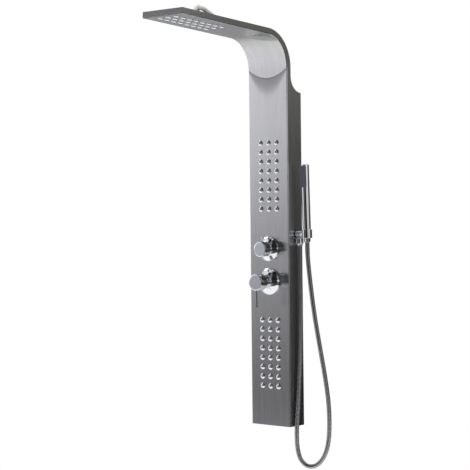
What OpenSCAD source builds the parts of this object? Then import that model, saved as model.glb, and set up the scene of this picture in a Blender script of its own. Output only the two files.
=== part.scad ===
// Rainfall shower panel for a bathroom wall.
// One folded steel channel: a deep lower box, a narrow neck, a forward bend and an overhead rain arm.
// Millimetres. Origin on the wall, in the middle of the upper bracket's two screw holes.
// +X is to the right seen from the front, +Y goes into the wall, +Z is up.

/* [Panel] */
// Width of the panel and of the arm
panel_w = 160; // [150:1:200]
// Depth of the lower box from the wall to the front face
box_depth = 73.5; // [70:0.5:90]
// Height of the deep lower box
box_h = 1091; // [1060:1:1300]
// Depth of the channel in the neck and in the arm
rail_depth = 20; // [20:0.5:24]
// Thickness of the folded steel sheet
sheet_t = 1.5; // [1:0.1:2]
// Straight neck between the notch and the bend
neck_h = 25; // [10:1:60]
// Inside radius of the bend
bend_r = 100; // [80:1:140]
// Straight length of the overhead arm
arm_len = 417.5; // [400:0.5:520]
// Upward tilt of the arm, in degrees
arm_tilt = 3.3; // [0:0.1:6]
// Height of the upper wall bracket above the lower edge
mount_h = 1000; // [960:1:1010]
// Height of the lower wall bracket above the lower edge
low_mount_h = 70; // [60:1:90]

/* [Jets] */
// Radius of a jet's domed bezel
jet_r = 9.2; // [8:0.1:11]
// Height of a jet's dome above the sheet
dome_h = 4; // [3:0.5:6]
// Spacing of the jet columns across the panel
column_pitch = 32.5; // [28:0.5:38]
// Spacing of the jet rows up the panel
row_pitch = 31; // [24:0.5:32]
// Rows in each block
rows = 8; // [4:1:8]
// Height of the lowest row of the lower block
low_jets_h = 130; // [115:1:140]
// Height of the lowest row of the upper block
high_jets_h = 711.5; // [706:0.5:740]
// Distance of the first rain row from the arm's end
rain_edge = 29; // [26:1:40]
// Spacing of the rain rows along the arm
rain_pitch = 30.5; // [24:0.5:31]

/* [Valves] */
// Height of the mixer's axis
mixer_h = 473.5; // [465:0.5:480]
// Radius of the mixer's escutcheon
mixer_plate_r = 43.5; // [38:0.5:46]
// Radius of the mixer's knob
mixer_knob_r = 27; // [25:0.5:30]
// Distance of the mixer knob's face from the panel
mixer_reach = 76.5; // [74:0.5:90]
// Length of the lever below the mixer knob
lever_len = 55; // [40:1:70]
// Height of the diverter's axis
diverter_h = 580.5; // [576:0.5:600]
// Radius of the diverter's escutcheon
diverter_plate_r = 40; // [36:0.5:44]
// Radius of the diverter's knob
diverter_knob_r = 25; // [23:0.5:28]
// Distance of the diverter knob's face from the panel
diverter_reach = 51.5; // [48:0.5:60]

/* [Hand shower] */
// Height of the clip's axis
holder_h = 629; // [622:1:650]
// Distance of the holder's axis from the wall
holder_y = 34; // [30:0.5:40]
// Distance of the stick's axis from the panel's side
stick_offset = 45; // [44:0.5:46]
// Forward lean of the stick, in degrees
stick_lean = 2; // [0:0.5:4]
// Length of the stick above the clip
stick_len = 209.5; // [190:0.5:240]
// Radius of the stick
stick_r = 13.5; // [12.5:0.1:14.5]
// Outer radius of the metal hose
hose_r = 7.5; // [6.5:0.1:8]

/* [Fits] */
// Radial gap of a turning fit
run_gap = 0.05; // [0.02:0.01:0.1]
// Gap between pieces that only pass each other
pass_gap = 0.3; // [0.2:0.05:0.5]
// Radius of a wall screw's hole
screw_hole_r = 3.25; // [2.75:0.25:4]
// Distance between a bracket's two screw holes
screw_span = 100; // [90:1:110]
// Radius of the water inlets' half-inch thread
inlet_r = 10.4775; // [9:0.1:12]
// Distance between the hot and the cold inlet
inlet_span = 80; // [74:1:90]

/* [Hidden] */
$fn = 48;

// Panel
bottom_z = -mount_h;
box_top_z = bottom_z + box_h;
notch_r = box_depth - rail_depth;
bend_y = -box_depth - bend_r;
bend_z = box_top_z + notch_r + neck_h;
arm_y = bend_y + bend_r * sin(arm_tilt);
arm_z = bend_z + bend_r * cos(arm_tilt);
inner_w = panel_w - 2 * sheet_t;
front_y = -box_depth;
back_of_front = front_y + sheet_t;
bend_steps = 32;
notch_steps = 16;

// Wall brackets and the strips that hang on them
bracket_t = 2.5;
bracket_h = 40;
bracket_side_gap = 11.5;
bracket_w = inner_w - 2 * bracket_side_gap;
lip_h = 12;
lip_y = -9;
hook_gap = 1;
strip_t = 2;
strip_h = 55;
tab_w = 24;

// Jets
jet_bore_r = 3.2;
stem_r = 6.3;
stem_len = 7;
tip_r = 2.9;
manifold_side = 19.5;
manifold_edge = 16;
manifold_d = 16;
manifold_t = 4;
manifold_lid_t = 3;
block_len = (rows - 1) * row_pitch + 2 * manifold_edge;
block_w = 2 * (column_pitch + manifold_side);
low_block_z = bottom_z + low_jets_h;
high_block_z = bottom_z + high_jets_h;
spigot_r = 5;
spigot_len = 10;
spigot_x = 40;
jet_hose_r = 6;

// Rain chamber, measured along the arm and up from the arm's underside
rain_first = arm_len - rain_edge;
rain_last = rain_first - (rows - 1) * rain_pitch;
chamber_from = rain_last - 18;
chamber_to = rain_first + 17;
chamber_top = 13;
chamber_low = sheet_t + run_gap;
chamber_lid_t = 2.5;
chamber_t = 2;
rain_stem_len = 4.5;
elbow_at = arm_len - 145.5;
elbow_r = 9;
elbow_bore = 5.5;
elbow_bend = 12;
elbow_rise = rail_depth + 20;
elbow_run = 12;
elbow_nut_h = 9;
rain_hose_r = 7;
rain_hose_n = 10.5;

// Valves
mixer_z = bottom_z + mixer_h;
diverter_z = bottom_z + diverter_h;
valve_back_y = -34;
port_y = -50;
port_r = 9;
water_r = 5;
snout_r = 18;
snout_y = front_y - 5.5;
cartridge_r = 15;
cartridge_back_y = -46;
shaft_r = 6;
shaft_back_y = -64;
lock_nut_h = 4;
lock_nut_r = 22.5;
rim_h = 6.5;
plate_wall = 1.5;
mixer_dome_h = 18.5;
diverter_dome_h = 16;
mixer_face_y = front_y - mixer_reach;
mixer_knob_len = 32;
pivot_y = mixer_face_y + mixer_knob_len + 12;
ball_r = 22;
ball_wall = 2;
ball_mouth_r = 13;
cup_gap = 1;
collar_r = 23;
collar_ring_r = 24.5;
carrier_r = 11;
ear_slot = 8.4;
pivot_pin_r = 2;
mixer_stem_r = 4;
stem_depth = 11;
lever_r = 2.25;
lever_y = mixer_face_y + 7;
lever_root = 16;
knob_edge = 1.5;
cap_t = 1.2;
cap_rim = 3.5;
diverter_face_y = front_y - diverter_reach;
diverter_knob_len = 32;
spindle_r = 5;
diverter_snout_r = 16;
diverter_cartridge_r = 13;
diverter_nut_r = 21;
diverter_pin_y = diverter_face_y + 12;
diverter_pin_r = 2.5;
diverter_pin_len = 11;
inlet_x = inlet_span / 2;
inlet_arm_r = 12;
side_run_share = 11 / 29;
side_run_room = inner_w / 2 - inlet_x - inlet_arm_r - 2 * jet_hose_r;
side_run_x = inner_w / 2 - jet_hose_r - side_run_share * side_run_room;
inlet_y = -46;
inlet_shoulder_y = -34;
inlet_end_y = -20;
side_port_z = 9;
side_port_x = 30;

// Hand shower, its outlet and its clip
side_x = panel_w / 2;
holder_z = bottom_z + holder_h;
stick_x = side_x + stick_offset;
holder_r = 9;
holder_end_x = stick_x - 17.5;
shank_r = 8;
shank_end_x = side_x - 14;
gasket_t = 1.5;
spout_x = side_x + 15;
spout_end = 18;
outlet_nut_r = 12.5;
outlet_nut_top = 12;
outlet_nut_low = 39;
washer_t = 2;
clip_r = 17;
clip_low = -14;
clip_top = 15;
cone_low = -27;
cone_top = 16;
cone_low_r = 10.6;
cone_top_r = 13.3;
clip_screw_r = 2.5;
clip_head_r = 4.5;
clip_head_t = 1.5;
nut_bore_r = 9.3;
seat_z = 1;
handset_bore_r = 8;
spray_low = 151;
spray_high = 221;
spray_w = 22;
spray_proud = 0.8;
spray_t = 5;
spray_seat = -stick_r - spray_proud + spray_t;
nozzle_pitch = 6;
nozzle_r = 1.2;
nozzle_rows = 11;
top_cap_t = 3.5;

// Free hose from the outlet nut, in a loop below the panel, to the hand shower's cone nut.
hose_route = [
    [95, -34, -410], [95, -34, -455], [97, -35, -520], [98, -36, -600], [98, -38, -680],
    [97, -40, -760], [95, -43, -835], [94, -48, -905], [93, -54, -970], [93, -58, -1025],
    [95, -57, -1068], [104, -54, -1103], [124, -47, -1124], [150, -39, -1124], [173, -32, -1105],
    [189, -27, -1072], [196, -23, -1030], [198, -22, -975], [195, -22, -915], [187, -24, -850],
    [176, -26, -785], [163, -28, -715], [150, -30, -640], [139, -31, -565], [130, -32, -490],
    [126, -33, -440], [125, -33, -401]
];

function lerp_spline(a, b, c, d, t) =
    0.5 * (2 * b + (c - a) * t + (2 * a - 5 * b + 4 * c - d) * t * t + (3 * b - a - 3 * c + d) * t * t * t);

function smooth_route(p, n) = [
    for (i = [0 : len(p) - 2])
        for (k = [0 : n - 1])
            lerp_spline(
                i > 0 ? p[i - 1] : 2 * p[0] - p[1],
                p[i],
                p[i + 1],
                i < len(p) - 2 ? p[i + 2] : 2 * p[i + 1] - p[i],
                k / n),
    p[len(p) - 1]
];

function unit(v) = v / norm(v);

// Direction of a smoothed path p at ring i; its two ends keep the direction of the route r itself.
function heading(p, r, i) =
    i == 0 ? unit(r[1] - r[0]) :
    i == len(p) - 1 ? unit(r[len(r) - 1] - r[len(r) - 2]) :
    unit(p[i + 1] - p[i - 1]);

function arm_point(along, up) = [
    0,
    arm_y - along * cos(arm_tilt) + up * sin(arm_tilt),
    arm_z + along * sin(arm_tilt) + up * cos(arm_tilt)
];

// Tube along a route; across is a direction that the route never follows.
module hose_along(route, r, across, sides, steps) {
    path = smooth_route(route, steps);
    rings = len(path);
    points = [
        for (i = [0 : rings - 1])
            let (t = heading(path, route, i), u = unit(cross(t, across)), v = cross(t, u))
                for (k = [0 : sides - 1])
                    path[i] + r * (cos(360 * k / sides) * u + sin(360 * k / sides) * v)
    ];
    walls = [
        for (i = [0 : rings - 2])
            for (k = [0 : sides - 1])
                let (a = i * sides + k, b = i * sides + (k + 1) % sides)
                    each [[a, b, b + sides], [a, b + sides, a + sides]]
    ];
    start_face = [for (k = [0 : sides - 1]) sides - 1 - k];
    end_face = [for (k = [0 : sides - 1]) (rings - 1) * sides + k];
    polyhedron(points, concat([start_face], walls, [end_face]));
}

// Turns a flat outline in Y and Z into a plate centred on X = 0.
module across_panel(width) {
    translate([-width / 2, 0, 0])
        rotate([90, 0, 90])
            linear_extrude(width)
                children();
}

// Child's +Z becomes the way out of the front face.
module from_front(x, y, z) {
    translate([x, y, z])
        rotate([90, 0, 0])
            children();
}

// Child's +Y runs back along the arm and its +Z stands on the arm's underside.
module on_arm(along) {
    translate(arm_point(along, 0))
        rotate([-arm_tilt, 0, 0])
            children();
}

// Child sits on the clip's axis, leaning with the stick.
module in_clip() {
    translate([stick_x, -holder_y, holder_z])
        rotate([stick_lean, 0, 0])
            children();
}

module tube(r, bore, h) {
    difference() {
        cylinder(r = r, h = h);
        translate([0, 0, -1])
            cylinder(r = bore, h = h + 2);
    }
}

// Points of an arc in Y and Z, from one angle to the other in equal steps.
function arc(center, r, from, to, steps) = [
    for (i = [0 : steps])
        let (a = from + (to - from) * i / steps)
            center + r * [cos(a), sin(a)]
];

// Point of the channel's side view: along the straight arm, and up from the arm's underside.
function arm_side_point(along, up) = let (p = arm_point(along, up)) [p[1], p[2]];

// Side view of the panel.
module side_outline() {
    bend = [bend_y, bend_z];
    polygon(concat(
        [[front_y, bottom_z], [0, bottom_z]],
        arc([0, box_top_z + notch_r], notch_r, -90, -180, notch_steps),
        arc(bend, bend_r + rail_depth, 0, 90 - arm_tilt, bend_steps),
        [arm_side_point(arm_len, rail_depth), arm_side_point(arm_len, 0)],
        arc(bend, bend_r, 90 - arm_tilt, 0, bend_steps)
    ));
}

// Side view of the space in the channel, open towards the wall and on top of the arm.
module side_cavity() {
    bend = [bend_y, bend_z];
    polygon(concat(
        [[back_of_front, bottom_z + sheet_t], [1, bottom_z + sheet_t], [1, bend_z]],
        arc(bend, bend_r + rail_depth + 1, 0, 90 - arm_tilt, bend_steps),
        [arm_side_point(arm_len - sheet_t, rail_depth + 1), arm_side_point(arm_len - sheet_t, sheet_t)],
        arc(bend, bend_r + sheet_t, 90 - arm_tilt, 0, bend_steps)
    ));
}

// Puts a child at every jet of a front block.
module at_front_jets(block_z) {
    for (c = [-1 : 1], i = [0 : rows - 1])
        from_front(c * column_pitch, front_y, block_z + i * row_pitch)
            children();
}

// Puts a child at every rain jet, its +Z pointing down out of the arm.
module at_rain_jets() {
    for (c = [-1 : 1], i = [0 : rows - 1])
        on_arm(rain_first - i * rain_pitch)
            translate([c * column_pitch, 0, 0])
                rotate([180, 0, 0])
                    children();
}

module jet_hole(depth) {
    translate([0, 0, -depth])
        cylinder(r = stem_r + pass_gap, h = depth + 1);
}

module jet_bezel(stem) {
    cap_h = 0.7 * dome_h;
    cap_r = (jet_r * jet_r + cap_h * cap_h) / (2 * cap_h);
    difference() {
        union() {
            translate([0, 0, -stem])
                cylinder(r = stem_r, h = stem + 0.5);
            intersection() {
                cylinder(r = jet_r, h = dome_h);
                translate([0, 0, dome_h - cap_r])
                    sphere(cap_r);
            }
        }
        translate([0, 0, -stem - 1])
            cylinder(r = jet_bore_r, h = stem + dome_h + 2);
    }
}

module jet_tip(stem) {
    difference() {
        translate([0, 0, -stem])
            cylinder(r = tip_r, h = stem + dome_h + 0.6);
        translate([0, 0, -stem - 1])
            cylinder(r = 1.1, h = stem + dome_h + 3);
    }
}

module panel_shell() {
    color([0.62, 0.61, 0.62])
        difference() {
            across_panel(panel_w)
                side_outline();
            across_panel(inner_w)
                side_cavity();
            at_front_jets(low_block_z)
                jet_hole(sheet_t + 1);
            at_front_jets(high_block_z)
                jet_hole(sheet_t + 1);
            at_rain_jets()
                jet_hole(sheet_t + 1);
            from_front(0, back_of_front + 1, mixer_z)
                cylinder(r = snout_r + pass_gap, h = sheet_t + 2);
            from_front(0, back_of_front + 1, diverter_z)
                cylinder(r = diverter_snout_r + pass_gap, h = sheet_t + 2);
            translate([side_x - sheet_t - 1, -holder_y, holder_z])
                rotate([0, 90, 0])
                    cylinder(r = shank_r + pass_gap, h = sheet_t + 2);
        }
}

// Hook-shaped bracket: screwed plate, a shelf and a lip that stands up.
module wall_bracket(z) {
    lip_out = lip_y - bracket_t;
    color([0.55, 0.56, 0.58])
        difference() {
            union() {
                translate([-bracket_w / 2, -bracket_t, z - bracket_h / 2])
                    cube([bracket_w, bracket_t, bracket_h]);
                translate([-bracket_w / 2, lip_out, z + bracket_h / 2 - bracket_t])
                    cube([bracket_w, -lip_out, bracket_t]);
                translate([-bracket_w / 2, lip_out, z + bracket_h / 2 - bracket_t])
                    cube([bracket_w, bracket_t, bracket_t + lip_h]);
            }
            for (side = [-1, 1])
                translate([side * screw_span / 2, 1, z])
                    rotate([90, 0, 0])
                        cylinder(r = screw_hole_r, h = bracket_t + 2);
        }
}

module upper_wall_bracket() {
    wall_bracket(0);
}

module lower_wall_bracket() {
    wall_bracket(low_mount_h - mount_h);
}

// Strip welded between the side walls; its turned-down edge hangs behind the bracket's lip.
module hanger_strip(z) {
    rest_z = z + bracket_h / 2 + lip_h;
    web_y = lip_y - bracket_t - pass_gap - strip_t;
    hook_y = lip_y + hook_gap;
    color([0.5, 0.5, 0.52])
        union() {
            translate([-inner_w / 2, web_y, rest_z + strip_t - strip_h])
                cube([inner_w, strip_t, strip_h]);
            translate([-inner_w / 2, web_y, rest_z])
                cube([inner_w, hook_y + strip_t - web_y, strip_t]);
            translate([-inner_w / 2, hook_y, rest_z - lip_h + pass_gap])
                cube([inner_w, strip_t, lip_h + strip_t - pass_gap]);
            for (side = [-1, 1])
                translate([side * (inner_w - strip_t) / 2, web_y - tab_w, rest_z + strip_t - strip_h])
                    translate([-strip_t / 2, 0, 0])
                        cube([strip_t, tab_w + strip_t, strip_h]);
        }
}

module upper_hanger_strip() {
    hanger_strip(0);
}

module lower_hanger_strip() {
    hanger_strip(low_mount_h - mount_h);
}

module rain_chamber() {
    color([0.85, 0.86, 0.86])
        difference() {
            on_arm(chamber_to)
                translate([-block_w / 2, 0, chamber_low])
                    cube([block_w, chamber_to - chamber_from, chamber_top - chamber_low]);
            on_arm(chamber_to)
                translate([chamber_t - block_w / 2, chamber_t, chamber_low + chamber_t])
                    cube([block_w - 2 * chamber_t, chamber_to - chamber_from - 2 * chamber_t, chamber_top]);
            at_rain_jets()
                jet_hole(sheet_t + chamber_t + 1);
        }
}

module rain_chamber_lid() {
    color([0.85, 0.86, 0.86])
        difference() {
            on_arm(chamber_to)
                translate([-block_w / 2, 0, chamber_top])
                    cube([block_w, chamber_to - chamber_from, chamber_lid_t]);
            on_arm(elbow_at)
                cylinder(r = elbow_bore, h = chamber_top + 10);
        }
}

module rain_jet_bezels() {
    color([0.75, 0.76, 0.78])
        at_rain_jets()
            jet_bezel(rain_stem_len);
}

module rain_jet_tips() {
    color([0.25, 0.25, 0.26])
        at_rain_jets()
            jet_tip(rain_stem_len);
}

module rain_elbow_nut() {
    color([0.3, 0.3, 0.32])
        on_arm(elbow_at)
            translate([0, 0, chamber_top + chamber_lid_t])
                difference() {
                    cylinder(r = elbow_r + 5, h = elbow_nut_h, $fn = 6);
                    translate([0, 0, -1])
                        cylinder(r = elbow_r + pass_gap, h = elbow_nut_h + 2);
                }
}

// White plastic elbow that rises out of the open arm and turns back towards the wall.
module rain_inlet_elbow() {
    base = chamber_top + chamber_lid_t;
    color([0.93, 0.93, 0.92])
        on_arm(elbow_at) {
            translate([0, 0, base])
                tube(elbow_r, elbow_bore, elbow_rise - base);
            translate([0, elbow_bend, elbow_rise])
                rotate([90, 0, -90])
                    rotate_extrude(angle = 90)
                        translate([elbow_bend, 0])
                            difference() {
                                circle(elbow_r);
                                circle(elbow_bore);
                            }
            translate([0, elbow_bend, elbow_rise + elbow_bend])
                rotate([-90, 0, 0])
                    tube(elbow_r, elbow_bore, elbow_run);
        }
}

module rain_supply_hose() {
    elbow_end = elbow_at - elbow_bend - elbow_run;
    elbow_top = elbow_rise + elbow_bend;
    hose_bend_r = bend_r + rain_hose_n;
    route = concat(
        [
            arm_point(elbow_end, elbow_top),
            arm_point(elbow_end - 18, elbow_top),
            arm_point(elbow_end - 55, elbow_top - 11),
            arm_point(elbow_end - 95, elbow_top - 26),
            arm_point(elbow_end - 135, rain_hose_n + 5),
            arm_point(elbow_end - 175, rain_hose_n),
            arm_point((elbow_end - 175) / 2, rain_hose_n)
        ],
        [
            for (turn = [90 - arm_tilt : -(90 - arm_tilt) / 5 : 0])
                [0, bend_y + hose_bend_r * cos(turn), bend_z + hose_bend_r * sin(turn)]
        ],
        [
            [0, -box_depth + rain_hose_n + 4, box_top_z + notch_r - 20],
            [0, port_y + 4, box_top_z - 10],
            [0, port_y + 10, box_top_z - 60],
            [0, port_y + 10, high_block_z + block_len / 2],
            [0, port_y + 9, high_block_z - 40],
            [0, port_y + 4, diverter_z + 60],
            [0, port_y, diverter_z + 40],
            [0, port_y, diverter_z + side_port_x]
        ]
    );
    color([0.92, 0.92, 0.9])
        hose_along(route, rain_hose_r, [1, 0, 0], 12, 2);
}

// Water box behind a block of jets; the side where hose_side points carries its spigot.
module jet_manifold(block_z, hose_side, spigot_side) {
    low_z = block_z - manifold_edge;
    end_z = hose_side > 0 ? low_z + block_len : low_z;
    color([0.2, 0.2, 0.22])
        difference() {
            union() {
                translate([-block_w / 2, back_of_front, low_z])
                    cube([block_w, manifold_d, block_len]);
                translate([spigot_side * spigot_x, back_of_front + manifold_d / 2, end_z])
                    rotate([hose_side > 0 ? 0 : 180, 0, 0])
                        cylinder(r = spigot_r, h = spigot_len);
            }
            translate([manifold_t - block_w / 2, back_of_front + manifold_t, low_z + manifold_t])
                cube([block_w - 2 * manifold_t, manifold_d, block_len - 2 * manifold_t]);
            translate([spigot_side * spigot_x, back_of_front + manifold_d / 2, end_z])
                translate([0, 0, -spigot_len - 1])
                    cylinder(r = spigot_r - 2, h = 2 * spigot_len + 2);
            at_front_jets(block_z)
                jet_hole(sheet_t + manifold_t + 1);
        }
}

module manifold_lid(block_z) {
    color([0.24, 0.24, 0.26])
        translate([-block_w / 2, back_of_front + manifold_d, block_z - manifold_edge])
            cube([block_w, manifold_lid_t, block_len]);
}

module upper_jet_manifold() {
    jet_manifold(high_block_z, -1, -1);
}

module upper_manifold_lid() {
    manifold_lid(high_block_z);
}

module lower_jet_manifold() {
    jet_manifold(low_block_z, 1, 1);
}

module lower_manifold_lid() {
    manifold_lid(low_block_z);
}

module jet_bezels(block_z) {
    color([0.75, 0.76, 0.78])
        at_front_jets(block_z)
            jet_bezel(stem_len);
}

module jet_tips(block_z) {
    color([0.25, 0.25, 0.26])
        at_front_jets(block_z)
            jet_tip(stem_len);
}

module upper_jet_bezels() {
    jet_bezels(high_block_z);
}

module upper_jet_tips() {
    jet_tips(high_block_z);
}

module lower_jet_bezels() {
    jet_bezels(low_block_z);
}

module lower_jet_tips() {
    jet_tips(low_block_z);
}

module upper_jet_hose() {
    spigot_y = back_of_front + manifold_d / 2;
    spigot_end = high_block_z - manifold_edge - spigot_len;
    route = [
        [-side_port_x, port_y, diverter_z],
        [-side_port_x - 10, port_y, diverter_z],
        [-side_port_x - 24, port_y - 1, diverter_z + 14],
        [-side_port_x - 28, port_y - 4, diverter_z + 38],
        [-spigot_x - 10, spigot_y + 3, spigot_end - 30],
        [-spigot_x, spigot_y, spigot_end - 10],
        [-spigot_x, spigot_y, spigot_end]
    ];
    color([0.92, 0.92, 0.9])
        hose_along(route, jet_hose_r, [0, 1, 0], 12, 3);
}

module lower_jet_hose() {
    spigot_y = back_of_front + manifold_d / 2;
    spigot_end = low_block_z - manifold_edge + block_len + spigot_len;
    route = [
        [side_port_x, port_y, diverter_z - side_port_z],
        [side_port_x + 10, port_y, diverter_z - side_port_z],
        [side_run_x - 11, port_y, diverter_z - side_port_z - 14],
        [side_run_x - 1, port_y, diverter_z - side_port_z - 40],
        [side_run_x, port_y, mixer_z],
        [side_run_x - 5, port_y - 5, mixer_z - 45],
        [spigot_x + 8, spigot_y + 3, spigot_end + 28],
        [spigot_x, spigot_y, spigot_end + 10],
        [spigot_x, spigot_y, spigot_end]
    ];
    color([0.92, 0.92, 0.9])
        hose_along(route, jet_hose_r, [0, 1, 0], 12, 3);
}

// Brass mixer: cartridge housing, hot and cold arms and the outlet on top.
module mixer_body() {
    housing_len = valve_back_y - back_of_front;
    color([0.72, 0.62, 0.4])
        difference() {
            union() {
                from_front(0, valve_back_y, mixer_z)
                    cylinder(r = snout_r + 4, h = housing_len);
                from_front(0, back_of_front, mixer_z)
                    cylinder(r = snout_r, h = back_of_front - snout_y);
                translate([-inlet_x, inlet_y, mixer_z])
                    rotate([0, 90, 0])
                        cylinder(r = inlet_arm_r, h = inlet_span);
                for (side = [-1, 1])
                    from_front(side * inlet_x, inlet_end_y, mixer_z)
                        cylinder(r = inlet_r, h = inlet_end_y - inlet_y);
                for (side = [-1, 1])
                    from_front(side * inlet_x, inlet_shoulder_y, mixer_z)
                        cylinder(r = inlet_arm_r, h = inlet_arm_r + inlet_shoulder_y - inlet_y);
                translate([0, port_y, mixer_z])
                    cylinder(r = port_r, h = side_port_x + 4);
            }
            from_front(0, cartridge_back_y, mixer_z)
                cylinder(r = cartridge_r + pass_gap, h = cartridge_back_y - snout_y + 1);
            translate([-inlet_x, inlet_y, mixer_z])
                rotate([0, 90, 0])
                    cylinder(r = water_r, h = inlet_span);
            for (side = [-1, 1])
                from_front(side * inlet_x, inlet_end_y + 1, mixer_z)
                    cylinder(r = water_r + 1.5, h = inlet_end_y - inlet_y + 1);
            translate([0, port_y, mixer_z])
                cylinder(r = water_r, h = side_port_x + 5);
        }
}

module mixer_cartridge() {
    color([0.9, 0.9, 0.88])
        difference() {
            from_front(0, cartridge_back_y, mixer_z)
                cylinder(r = cartridge_r, h = cartridge_back_y - snout_y);
            from_front(0, shaft_back_y, mixer_z)
                cylinder(r = shaft_r + run_gap, h = shaft_back_y - snout_y + 1);
        }
}

module mixer_lock_nut() {
    color([0.7, 0.6, 0.38])
        from_front(0, front_y, mixer_z)
            difference() {
                cylinder(r = lock_nut_r, h = lock_nut_h, $fn = 6);
                translate([0, 0, -1])
                    cylinder(r = snout_r + pass_gap / 2, h = lock_nut_h + 2);
            }
}

// Round cover plate: a straight rim and a low dome, hollow behind, open in the middle.
module escutcheon(plate_r, dome, hole_r) {
    cap_a = plate_r - 1;
    cap_r = (cap_a * cap_a + dome * dome) / (2 * dome);
    difference() {
        union() {
            cylinder(r = plate_r, h = rim_h - 1);
            translate([0, 0, rim_h - 1])
                cylinder(r1 = plate_r, r2 = cap_a, h = 1);
            translate([0, 0, rim_h])
                intersection() {
                    cylinder(r = cap_a, h = dome);
                    translate([0, 0, dome - cap_r])
                        sphere(cap_r, $fn = 96);
                }
        }
        translate([0, 0, -1])
            cylinder(r = cap_a - plate_wall, h = rim_h + 1);
        translate([0, 0, rim_h])
            intersection() {
                cylinder(r = cap_a - plate_wall, h = dome);
                translate([0, 0, dome - cap_r])
                    sphere(cap_r - plate_wall, $fn = 96);
            }
        cylinder(r = hole_r, h = rim_h + dome + 1);
    }
}

module mixer_escutcheon() {
    color([0.82, 0.83, 0.86])
        from_front(0, front_y, mixer_z)
            escutcheon(mixer_plate_r, mixer_dome_h, collar_r + pass_gap);
}

// Fixed collar with a ball front; the knob's hollow back rolls over the ball.
module mixer_collar() {
    base_y = front_y - lock_nut_h - pass_gap;
    ring_y = pivot_y + 10;
    color([0.8, 0.81, 0.84])
        difference() {
            union() {
                from_front(0, base_y, mixer_z)
                    cylinder(r = collar_r, h = base_y - pivot_y - 2);
                from_front(0, ring_y, mixer_z)
                    cylinder(r = collar_ring_r, h = 4);
                from_front(0, pivot_y + 2, mixer_z)
                    intersection() {
                        translate([0, 0, 2])
                            sphere(ball_r);
                        cylinder(r = ball_r, h = ball_r + 3);
                    }
            }
            from_front(0, base_y - 3, mixer_z)
                cylinder(r = ball_r - ball_wall, h = base_y - 3 - pivot_y);
            from_front(0, pivot_y, mixer_z)
                sphere(ball_r - ball_wall);
            from_front(0, base_y + 1, mixer_z)
                cylinder(r = snout_r + pass_gap / 2, h = 5);
            from_front(0, pivot_y, mixer_z)
                cylinder(r = ball_mouth_r, h = ball_r + 2);
        }
}

// Turning carrier: shaft in the cartridge, drum and two ears that hold the pivot pin.
module mixer_carrier() {
    drum_y = snout_y - pass_gap;
    ear_end_y = pivot_y - 4.5;
    slot_back_y = pivot_y + 7;
    color([0.75, 0.66, 0.45])
        difference() {
            union() {
                from_front(0, shaft_back_y - pass_gap, mixer_z)
                    cylinder(r = shaft_r, h = shaft_back_y - drum_y);
                from_front(0, drum_y, mixer_z)
                    cylinder(r = carrier_r, h = drum_y - ear_end_y);
            }
            translate([-ear_slot / 2, ear_end_y - 1, mixer_z - carrier_r - 1])
                cube([ear_slot, slot_back_y - ear_end_y + 1, 2 * carrier_r + 2]);
            translate([-carrier_r - 1, pivot_y, mixer_z])
                rotate([0, 90, 0])
                    cylinder(r = pivot_pin_r + run_gap / 2, h = 2 * carrier_r + 2);
        }
}

module mixer_pivot_pin() {
    color([0.7, 0.7, 0.72])
        translate([-carrier_r, pivot_y, mixer_z])
            rotate([0, 90, 0])
                cylinder(r = pivot_pin_r, h = 2 * carrier_r);
}

module mixer_stem() {
    stem_end_y = mixer_face_y + stem_depth;
    color([0.75, 0.75, 0.77])
        difference() {
            from_front(0, pivot_y + 4.5, mixer_z)
                cylinder(r = mixer_stem_r, h = pivot_y + 4.5 - stem_end_y);
            translate([-carrier_r, pivot_y, mixer_z])
                rotate([0, 90, 0])
                    cylinder(r = pivot_pin_r + run_gap, h = 2 * carrier_r);
        }
}

// Solid of a knob: both edges bevelled.
module knob_blank(r, len) {
    rotate_extrude()
        polygon([
            [0, 0], [r - knob_edge, 0], [r, knob_edge], [r, len - knob_edge], [r - knob_edge, len], [0, len]
        ]);
}

module mixer_knob() {
    color([0.72, 0.72, 0.78])
        difference() {
            from_front(0, mixer_face_y + mixer_knob_len, mixer_z)
                knob_blank(mixer_knob_r, mixer_knob_len);
            from_front(0, pivot_y, mixer_z)
                sphere(ball_r + cup_gap);
            from_front(0, pivot_y, mixer_z)
                cylinder(r = mixer_stem_r + run_gap, h = pivot_y - mixer_face_y - stem_depth);
            from_front(0, mixer_face_y + cap_t, mixer_z)
                cylinder(r = mixer_knob_r - cap_rim + run_gap, h = cap_t + 1);
            translate([0, lever_y, mixer_z - mixer_knob_r - 1])
                cylinder(r = lever_r + run_gap, h = mixer_knob_r + 1 - lever_root);
        }
}

module mixer_knob_cap() {
    color([0.78, 0.78, 0.84])
        from_front(0, mixer_face_y + cap_t, mixer_z)
            cylinder(r = mixer_knob_r - cap_rim, h = cap_t);
}

module mixer_lever() {
    low_z = mixer_z - mixer_knob_r - lever_len;
    color([0.7, 0.7, 0.73])
        union() {
            translate([0, lever_y, low_z])
                cylinder(r = lever_r, h = mixer_knob_r + lever_len - lever_root);
            translate([0, lever_y, low_z])
                sphere(lever_r);
        }
}

module transfer_pipe() {
    low_z = mixer_z + side_port_x + 4;
    high_z = diverter_z - side_port_x;
    color([0.72, 0.45, 0.3])
        translate([0, port_y, low_z])
            tube(port_r - 1.5, water_r, high_z - low_z);
}

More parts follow.
